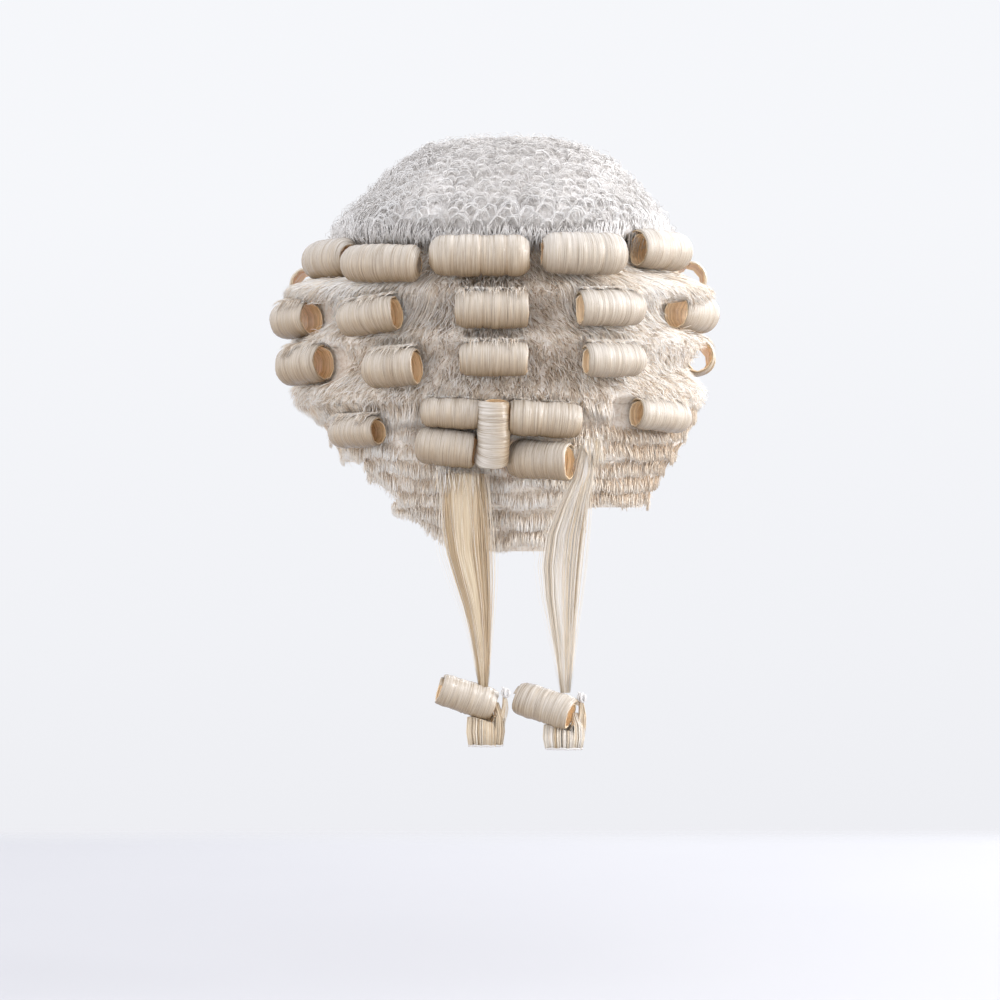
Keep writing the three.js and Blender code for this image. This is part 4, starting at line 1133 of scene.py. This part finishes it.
# ---------- foundation ----------
M_NET, nt, pr = new_material("cap_net", 0.9, 0.2)
uvn = node(nt, "ShaderNodeUVMap", uv_map="OFBake")
mp = nt.nodes.new("ShaderNodeMapping")
mp.inputs["Scale"].default_value = (250, 105, 1)
nt.links.new(uvn.outputs[0], mp.inputs["Vector"])
br = node(nt, "ShaderNodeTexBrick", Scale=1.0)
br.inputs["Color1"].default_value = (0.36, 0.30, 0.235, 1)
br.inputs["Color2"].default_value = (0.46, 0.40, 0.32, 1)
br.inputs["Mortar"].default_value = (0.78, 0.73, 0.65, 1)
br.inputs["Mortar Size"].default_value = 0.17
br.inputs["Mortar Smooth"].default_value = 0.35
br.inputs["Brick Width"].default_value = 1.0
br.inputs["Row Height"].default_value = 1.0
nt.links.new(mp.outputs[0], br.inputs["Vector"])
nt.links.new(br.outputs["Color"], pr.inputs["Base Color"])
bumped(nt, pr, br.outputs["Fac"], 0.5, 0.0006).invert = True

HEM_AZ = [0, 24, 28, 43, 44.5, 70, 73, 117]
HEM_Z = [-195, -193, -178, -174, -154, -150, -126, -122]


def cap_mesh():
    part = Parts()
    cols, rows = 80, 22
    az = np.linspace(-180, 180, cols, endpoint=False)
    a, sg = np.meshgrid(az, np.linspace(0.03, 1, rows))
    grids = []
    for off in (CAP_WALL, 0.0):
        z = -49.0 * sg**1.7
        side, back = form(z)
        grids.append(oval(side + off, back + off, a, z + off * (1 - sg) ** 0.7))
    v = np.concatenate([grids[0].reshape(-1, 3), grids[1][::-1].reshape(-1, 3), [[0, 0, CAP_WALL], [0, 0, 0]]])
    k = len(v) - 2
    ring = np.arange(cols)
    f = np.concatenate(
        [
            sheet_faces(2 * rows, cols, True),
            np.stack([np.full(cols, k), (ring + 1) % cols, ring], -1),
            np.stack([np.full(cols, k + 1), (2 * rows - 1) * cols + ring, (2 * rows - 1) * cols + (ring + 1) % cols], -1),
        ]
    )
    uv = np.stack([np.tile((az + 180) / 360, (2 * rows, 1)), 0.30 * np.concatenate([sg, sg[::-1]])], -1)
    part.add(v, outward(v, f), np.concatenate([uv.reshape(-1, 2), [[0.5, 0], [0.5, 0]]]))
    # the flap round the sides and back, which hangs from the dome's edge
    az = np.linspace(-EDGE_AZ + 1, EDGE_AZ - 1, 80)
    t = np.linspace(0, 1, 20)
    foot = np.interp(np.abs(az), HEM_AZ, HEM_Z)
    a, tg = np.meshgrid(az, t, indexing="ij")
    z = lerp(-49.2, foot[:, None], tg)
    grid = np.concatenate([off_form(z, CAP_WALL + 0 * z, a), off_form(z[:, ::-1], 0 * z, a)], 1)
    n, m = grid.shape[:2]
    f = np.concatenate([sheet_faces(n, m, True), ribbon_caps(n, m, 20)])
    v = grid.reshape(-1, 3)
    uv = np.stack(np.meshgrid((az + 180) / 360, 0.31 + 0.68 * np.concatenate([t, t[::-1]]), indexing="ij"), -1)
    part.add(v, outward(v, f), uv)
    return part


cap_mesh().build("foundation_net", M_NET, "cap_net", ["foundation_cap"])


# ---------- queues ----------
def queue_line(rows, count):
    """Centre line, width along a queue, its table's corners softened."""
    rows = np.array(rows, float)
    run = np.r_[0, np.cumsum(np.linalg.norm(np.diff(rows[:, :3], axis=0), axis=1))]
    u = np.linspace(0, 1, count)
    z, x, y, w = (np.interp(u * run[-1], run, rows[:, i]) for i in range(4))
    for _ in range(max(1, count // 12)):
        for arr in (x, y, w):
            arr[1:-1] = 0.25 * arr[:-2] + 0.5 * arr[1:-1] + 0.25 * arr[2:]
    return u, x, y, z, w


def queue_body(rows, seed, thick=3.4, fill=0.86):
    r = np.random.default_rng(seed)
    n, m = 60, 44
    u, x, y, z, w = queue_line(rows, n)
    a = 2 * math.pi * np.arange(m) / m
    groove = np.convolve(np.tile(r.normal(size=m), 3), [0.25, 0.5, 0.25], "same")[m : 2 * m]
    wander = waves(seed + 5, 0.5)
    uu, aa = np.meshgrid(u, a, indexing="ij")
    lift = 1 + 0.07 * groove[None] + 0.06 * wander(uu * 5, np.cos(aa) * 9)
    half_x = (w * fill / 2)[:, None] * lift
    half_y = (np.minimum(thick, w) / 2)[:, None] * (0.75 + 0.35 * lift) * (1 + 0.35 * (groove[None] + wander(uu * 3, aa * 3)) * 0.25)
    px = x[:, None] + half_x * np.cos(aa)
    py = y[:, None] + half_y * np.sin(aa)
    v = np.stack([px, py, z[:, None] + 0 * aa], -1).reshape(-1, 3)
    v = np.concatenate([v, [[x[0], y[0], z[0]], [x[-1], y[-1], z[-1]]]])
    ring = np.arange(m)
    f = np.concatenate(
        [
            sheet_faces(n, m, True),
            np.stack([np.full(m, n * m), (ring + 1) % m, ring], -1),
            np.stack([np.full(m, n * m + 1), (n - 1) * m + ring, (n - 1) * m + (ring + 1) % m], -1),
        ]
    )
    across = np.cos(aa) * 10.0 + np.sign(np.sin(aa)) * 40
    length = abs(z[-1] - z[0])
    fibre = np.stack([across + seed, uu * length, np.full(uu.shape, float(seed))], -1).reshape(-1, 3)
    uv = np.stack([np.where(np.sin(aa) >= 0, 0.25, 0.75) + 0.24 * np.cos(aa), 0.01 + 0.98 * uu], -1).reshape(-1, 2)
    fibre = np.concatenate([fibre, fibre[:1], fibre[-1:]])
    uv = np.concatenate([uv, [[0.25, 0.004], [0.25, 0.996]]])
    return v, outward(v, f), uv, fibre, np.zeros(len(v))


def queue_paths(rows, count, K, r, reach, thick=4.0, wild=0.0):
    u, x, y, z, w = queue_line(rows, K)
    a = r.uniform(0, 2 * math.pi, count)
    rr = np.sqrt(r.uniform(*reach, count))
    sway = r.normal(0, 0.10, (count, 1)) * np.sin(math.pi * u)[None] * (1 + wild)
    px = x[None] + ((rr * np.cos(a))[:, None] + sway) * w[None] / 2
    py = y[None] + (rr * np.sin(a))[:, None] * np.minimum(thick, w)[None] / 2
    return np.stack([px, py, np.broadcast_to(z, px.shape)], -1)


for j, (name, rows) in enumerate(TAILS.items()):
    r = np.random.default_rng(400 + j)
    # the right queue takes the lit copy: painted light
    body = M_TAIL_BODY_LIT if name == "queue_right" else M_TAIL_BODY
    Parts().add(*queue_body(rows, 430 + j, fill=0.62 if j else 0.80)).build(name + "_body", body, "straight_hair", [name])
    K = 9
    part = Parts()
    core = queue_paths(rows, 260, K, r, (0.45, 1.1))
    w = r.uniform(0.11, 0.24, 260)[:, None] * np.linspace(1, 0.7, K)[None]
    # the right queue's strands are lighter by j: painted light
    part.add(*strands(core, w, np.clip(r.normal(0.16 + 0.69 * j, 0.22, 260), 0, 1), np.tile([0.0, 1, 0], (260, 1)), blunt=True))
    fly = queue_paths(rows, 70, K, r, (1.0, 1.7), wild=1.6)
    w = r.uniform(0.07, 0.13, 70)[:, None] * np.linspace(1, 0.5, K)[None]
    part.add(*strands(fly, w, np.clip(r.normal(0.75, 0.2, 70), 0, 1), np.tile([0.0, 1, 0], (70, 1))))
    # short hair that hangs over the queue's root
    top = rows[0]
    count = 170
    k = np.linspace(0, 1, 4)
    x0 = top[1] + r.uniform(-0.62, 0.62, count) * (top[3] + 4)
    z0 = top[0] + r.uniform(0.5, 4.0, count)
    L = r.uniform(6, 15, count)
    y0 = top[2] + r.uniform(0.5, 2.6, count)
    q = np.stack(
        [
            x0[:, None] + r.normal(0, 0.10, (count, 1)) * L[:, None] * k,
            y0[:, None] + 0.9 * np.sin(k * 2.2)[None] - 1.6 * k[None] ** 2,
            z0[:, None] - L[:, None] * k,
        ],
        -1,
    )
    q, keep = clear_of_curls(q, 0.3, 2.0, 0.0)
    w = r.uniform(0.12, 0.24, count)[keep][:, None] * np.array([1, 1, 0.8, 0.35])[None]
    part.add(*strands(q, w, np.clip(r.normal(0.75, 0.2, len(q)), 0, 1), np.tile([0.0, 1, 0], (len(q), 1))))
    part.build(name + "_hair", M_TAIL, "straight_hair", [name])

for j, (which, e) in enumerate(ENDS.items()):
    r = np.random.default_rng(420 + j)
    # the short brush of cut ends
    count, K = 540, 4
    a = r.uniform(0, 2 * math.pi, count)
    rr = np.sqrt(r.uniform(0, 1, count))
    u = np.linspace(0, 1, K)
    grow = np.interp(u, [0, 0.33, 0.67, 1], [0.68, 0.97, 1.02, 0.90])
    px = e["brush_x"] + (rr * np.cos(a))[:, None] * grow[None] * e["brush_width"] / 2
    py = e["y"] + (rr * np.sin(a))[:, None] * grow[None] * 4.6
    pz = lerp(e["brush_top"] + 3.5, e["brush_bottom"] + 0.5, u)[None] + r.normal(0, 0.12, (count, 1)) * u[None]
    q = np.stack(np.broadcast_arrays(px, py, pz), -1).copy()
    lo = np.array([e["x"], e["y"], e["z"]])
    dr, tu = math.radians(e["drop"]), math.radians(e["turn"])
    d = np.array([math.cos(dr) * math.cos(tu), math.cos(dr) * math.sin(tu), -math.sin(dr)])
    along = (q[..., 0] - lo[0]) / d[0]
    reach = ramp(e["length"] / 2 + 0.8 - np.abs(along), 0.0, 1.6)
    under = lo[2] + along * d[2] - e["dia"] / 2 / math.cos(dr) + 0.4
    limit = np.where(reach > 0, lerp(q[..., 2], np.minimum(q[..., 2], under), reach), q[..., 2])
    q[..., 2] = np.where(q[..., 1] > e["y"] - 2.0, limit, q[..., 2])
    behind = lo[1] + along * d[1] - e["dia"] / 2 - 0.3
    hidden = (q[..., 1] <= e["y"] - 2.0) & (q[..., 2] > under)
    q[..., 1] = np.where(hidden, np.minimum(q[..., 1], behind), q[..., 1])
    w = r.uniform(0.20, 0.40, count)[:, None] * np.ones(K)[None]
    # the right brush is lighter by j: painted light
    part = Parts().add(*strands(q, w, np.clip(r.normal(0.42 + 0.38 * j, 0.22, count), 0, 1), np.tile([0.0, 1, 0], (count, 1)), blunt=True))
    count = 80
    knot = np.array(e["knot"])
    end_x = e["x"] - (e["length"] / 2 + 0.6) * math.cos(dr)
    foot_p = np.stack(
        [
            np.minimum(e["brush_x"] - e["brush_width"] / 2 * r.uniform(0.45, 1.0, count), end_x - r.uniform(0, 1.5, count)),
            e["y"] + r.uniform(-2.5, 2.5, count),
            e["brush_top"] - r.uniform(5, 9, count),
        ],
        -1,
    )
    start = knot + np.stack([r.uniform(-0.2, 1.6, count), r.uniform(-3.2, -0.6, count), r.uniform(-1.0, 1.0, count)], -1)
    u = np.linspace(0, 1, 5)
    q = lerp(start[:, None], foot_p[:, None], u[None, :, None])
    q[..., 0] -= (1.3 + r.uniform(-0.5, 0.5, (count, 1))) * np.sin(math.pi * u)[None]
    w = r.uniform(0.18, 0.34, count)[:, None] * np.array([0.8, 1, 1, 1, 0.6])[None]
    part.add(*strands(q, w, np.clip(r.normal(0.6, 0.25, count), 0, 1), np.tile([0.0, 1, 0], (count, 1))))
    part.build(f"queue_brush_{which}_hair", M_TAIL, "straight_hair", [f"queue_brush_{which}"])
    # its sealed edge: the ends bound flat in a pale line
    th = np.linspace(0, 2 * math.pi, 60, endpoint=False)
    levels = []
    for dz, g in ((0.75, 0.93), (0.55, 0.985), (0.05, 0.975), (-0.25, 0.90)):
        levels.append(
            np.stack(
                [
                    e["brush_x"] + g * 0.95 * e["brush_width"] / 2 * np.cos(th),
                    e["y"] + g * 4.5 * np.sin(th),
                    e["brush_bottom"] + 0.6 + dz + 0.16 * np.sin(th * 9 + j) + 0.12 * np.sin(th * 23 + 2 * j),
                ],
                -1,
            )
        )
    foot = e["brush_bottom"]
    v = np.concatenate(levels + [[[e["brush_x"], e["y"], foot + 2.0], [e["brush_x"], e["y"], foot + 0.25]]])
    ring = np.arange(60)
    f = np.concatenate(
        [
            sheet_faces(4, 60, True),
            np.stack([np.full(60, 240), (ring + 1) % 60, ring], -1),
            np.stack([np.full(60, 241), 180 + ring, 180 + (ring + 1) % 60], -1),
        ]
    )
    uv = np.stack([0.5 + 0.4 * np.sin(np.arange(len(v))), 0.5 + 0.3 * np.cos(np.arange(len(v)) * 1.7)], -1)
    Parts().add(v, outward(v, f), uv).build(
        f"queue_brush_{which}_edge", M_THREAD, "binding_thread", [f"queue_brush_{which}"]
    )
    # the knot: turns of thread with two cut ends
    c = np.array(e["knot"])
    part = Parts()
    for k, (tilt, rad) in enumerate([(0.0, 2.0), (0.5, 2.1), (-0.6, 2.05), (1.2, 1.9), (-1.3, 1.8), (2.1, 1.7)]):
        th = np.linspace(0, 1.93 * math.pi, 18) + k
        loop = np.stack([0.9 * np.sin(th * 0.5 + k), rad * np.cos(th), rad * np.sin(th)], -1)
        ct, st = math.cos(tilt), math.sin(tilt)
        loop = np.stack([loop[:, 0] * ct - loop[:, 1] * st, loop[:, 0] * st + loop[:, 1] * ct, loop[:, 2]], -1)
        part.add(*strands((c + loop)[None], np.full((1, 18), 0.55), np.array([0.2 + 0.12 * k]), np.array([[1.0, 0.2, 0.1]]), 6, blunt=True))
    for sgn in (-1, 1):
        u = np.linspace(0, 1, 6)
        tail = c + np.stack([sgn * 2.2 * u, 1.0 + 0.6 * u, 1.5 + 2.4 * u * (1 - 0.4 * u) * (1 if sgn > 0 else -1)], -1)
        part.add(*strands(tail[None], np.full((1, 6), 0.4), np.array([0.6]), np.array([[0.1, 0.2, 1.0]]), 5))
    part.build(f"queue_knot_{which}_thread", M_THREAD, "binding_thread", [f"queue_knot_{which}"])

# ---------- floor, light and camera ----------
sc = bpy.context.scene
world = bpy.data.worlds.new("studio")
sc.world = world
world.use_nodes = True
nt = world.node_tree
nt.nodes.clear()
out = nt.nodes.new("ShaderNodeOutputWorld")
lit = node(nt, "ShaderNodeBackground")
lit.inputs["Color"].default_value = (0.93, 0.94, 1.0, 1)
lit.inputs["Strength"].default_value = 1.08
seen = node(nt, "ShaderNodeBackground")
way = nt.nodes.new("ShaderNodeTexCoord")
height = nt.nodes.new("ShaderNodeSeparateXYZ")
nt.links.new(way.outputs["Generated"], height.inputs[0])
fade = node(nt, "ShaderNodeMapRange")
fade.inputs["From Min"].default_value = -0.13
fade.inputs["From Max"].default_value = 0.10
nt.links.new(height.outputs["Z"], fade.inputs["Value"])
sky = colour_ramp(nt, [(0.0, (0.850, 0.855, 0.890)), (0.35, (0.880, 0.888, 0.922)), (1.0, (0.920, 0.930, 0.960))])
nt.links.new(fade.outputs[0], sky.inputs[0])
nt.links.new(sky.outputs[0], seen.inputs["Color"])
path = nt.nodes.new("ShaderNodeLightPath")
mix = nt.nodes.new("ShaderNodeMixShader")
nt.links.new(path.outputs["Is Camera Ray"], mix.inputs[0])
nt.links.new(lit.outputs[0], mix.inputs[1])
nt.links.new(seen.outputs[0], mix.inputs[2])
nt.links.new(mix.outputs[0], out.inputs[0])

FLOOR_Z = -0.422
x0, x1, y0, y1 = -1.5, 1.5, -0.62, 1.1
fm = bpy.data.meshes.new("floor")
fm.from_pydata([(x0, y0, FLOOR_Z), (x1, y0, FLOOR_Z), (x1, y1, FLOOR_Z), (x0, y1, FLOOR_Z)], [], [(0, 1, 2, 3)])
mf, nt, pf = new_material("floor", 0.8, 0.2)
tc = nt.nodes.new("ShaderNodeTexCoord")
xyz = nt.nodes.new("ShaderNodeSeparateXYZ")
nt.links.new(tc.outputs["Object"], xyz.inputs[0])
edge = node(nt, "ShaderNodeMapRange", interpolation_type="SMOOTHSTEP")
edge.inputs["From Min"].default_value = -0.50
edge.inputs["From Max"].default_value = y0
nt.links.new(xyz.outputs["Y"], edge.inputs["Value"])
tr = nt.nodes.new("ShaderNodeBsdfTransparent")
mx = nt.nodes.new("ShaderNodeMixShader")
nt.links.new(edge.outputs[0], mx.inputs[0])
nt.links.new(pf.outputs[0], mx.inputs[1])
nt.links.new(tr.outputs[0], mx.inputs[2])
nt.links.new(mx.outputs[0], [n for n in nt.nodes if n.type == "OUTPUT_MATERIAL"][0].inputs[0])
grain = node(nt, "ShaderNodeTexNoise", Scale=3.0, Detail=2.0)
nt.links.new(tc.outputs["Object"], grain.inputs["Vector"])
tint = colour_ramp(nt, [(0.3, (0.555, 0.555, 0.570)), (0.7, (0.57, 0.57, 0.582))])
nt.links.new(grain.outputs["Fac"], tint.inputs[0])
nt.links.new(tint.outputs[0], pf.inputs["Base Color"])
fm.materials.append(mf)
floor = bpy.data.objects.new("floor", fm)
sc.collection.objects.link(floor)


def area(name, at, target, size, energy, colour=(1, 1, 1)):
    li = bpy.data.lights.new(name, "AREA")
    li.shape, li.size, li.energy, li.color = "DISK", size, energy, colour
    ob = bpy.data.objects.new(name, li)
    ob.location = at
    ob.rotation_euler = (Vector(target) - Vector(at)).to_track_quat("-Z", "Y").to_euler()
    sc.collection.objects.link(ob)


area("key", (-1.75, 0.45, 0.5), (0, 0, -0.12), 0.9, 34, (0.985, 0.985, 1.01))
area("front", (1.1, 1.75, 0.1), (0, 0, -0.12), 1.4, 8, (0.98, 0.97, 1.0))
area("left", (1.9, 0.4, 0.45), (0, 0, -0.1), 1.4, 4.5, (0.98, 0.97, 1.0))
area("top", (-0.3, 0.35, 1.5), (0, 0, -0.1), 1.0, 0.4)
area("rim", (-0.9, -1.3, 0.5), (0, 0, -0.1), 0.9, 9)

cam = bpy.data.cameras.new("camera")
cam.sensor_width = 36
cam.lens = 36 * 1.5 / 0.53
cam.clip_start, cam.clip_end = 0.05, 20
co = bpy.data.objects.new("camera", cam)
co.location = (0, 1.5, -0.177)
co.rotation_euler = (math.pi / 2, 0, math.pi)
sc.collection.objects.link(co)
sc.camera = co
sc.view_settings.view_transform = "Standard"
sc.view_settings.look = "None"
sc.cycles.max_bounces = 12
sc.cycles.diffuse_bounces = 6

print("triangles made", sum(made.values()), "most", sorted(made.items(), key=lambda x: -x[1])[:8])
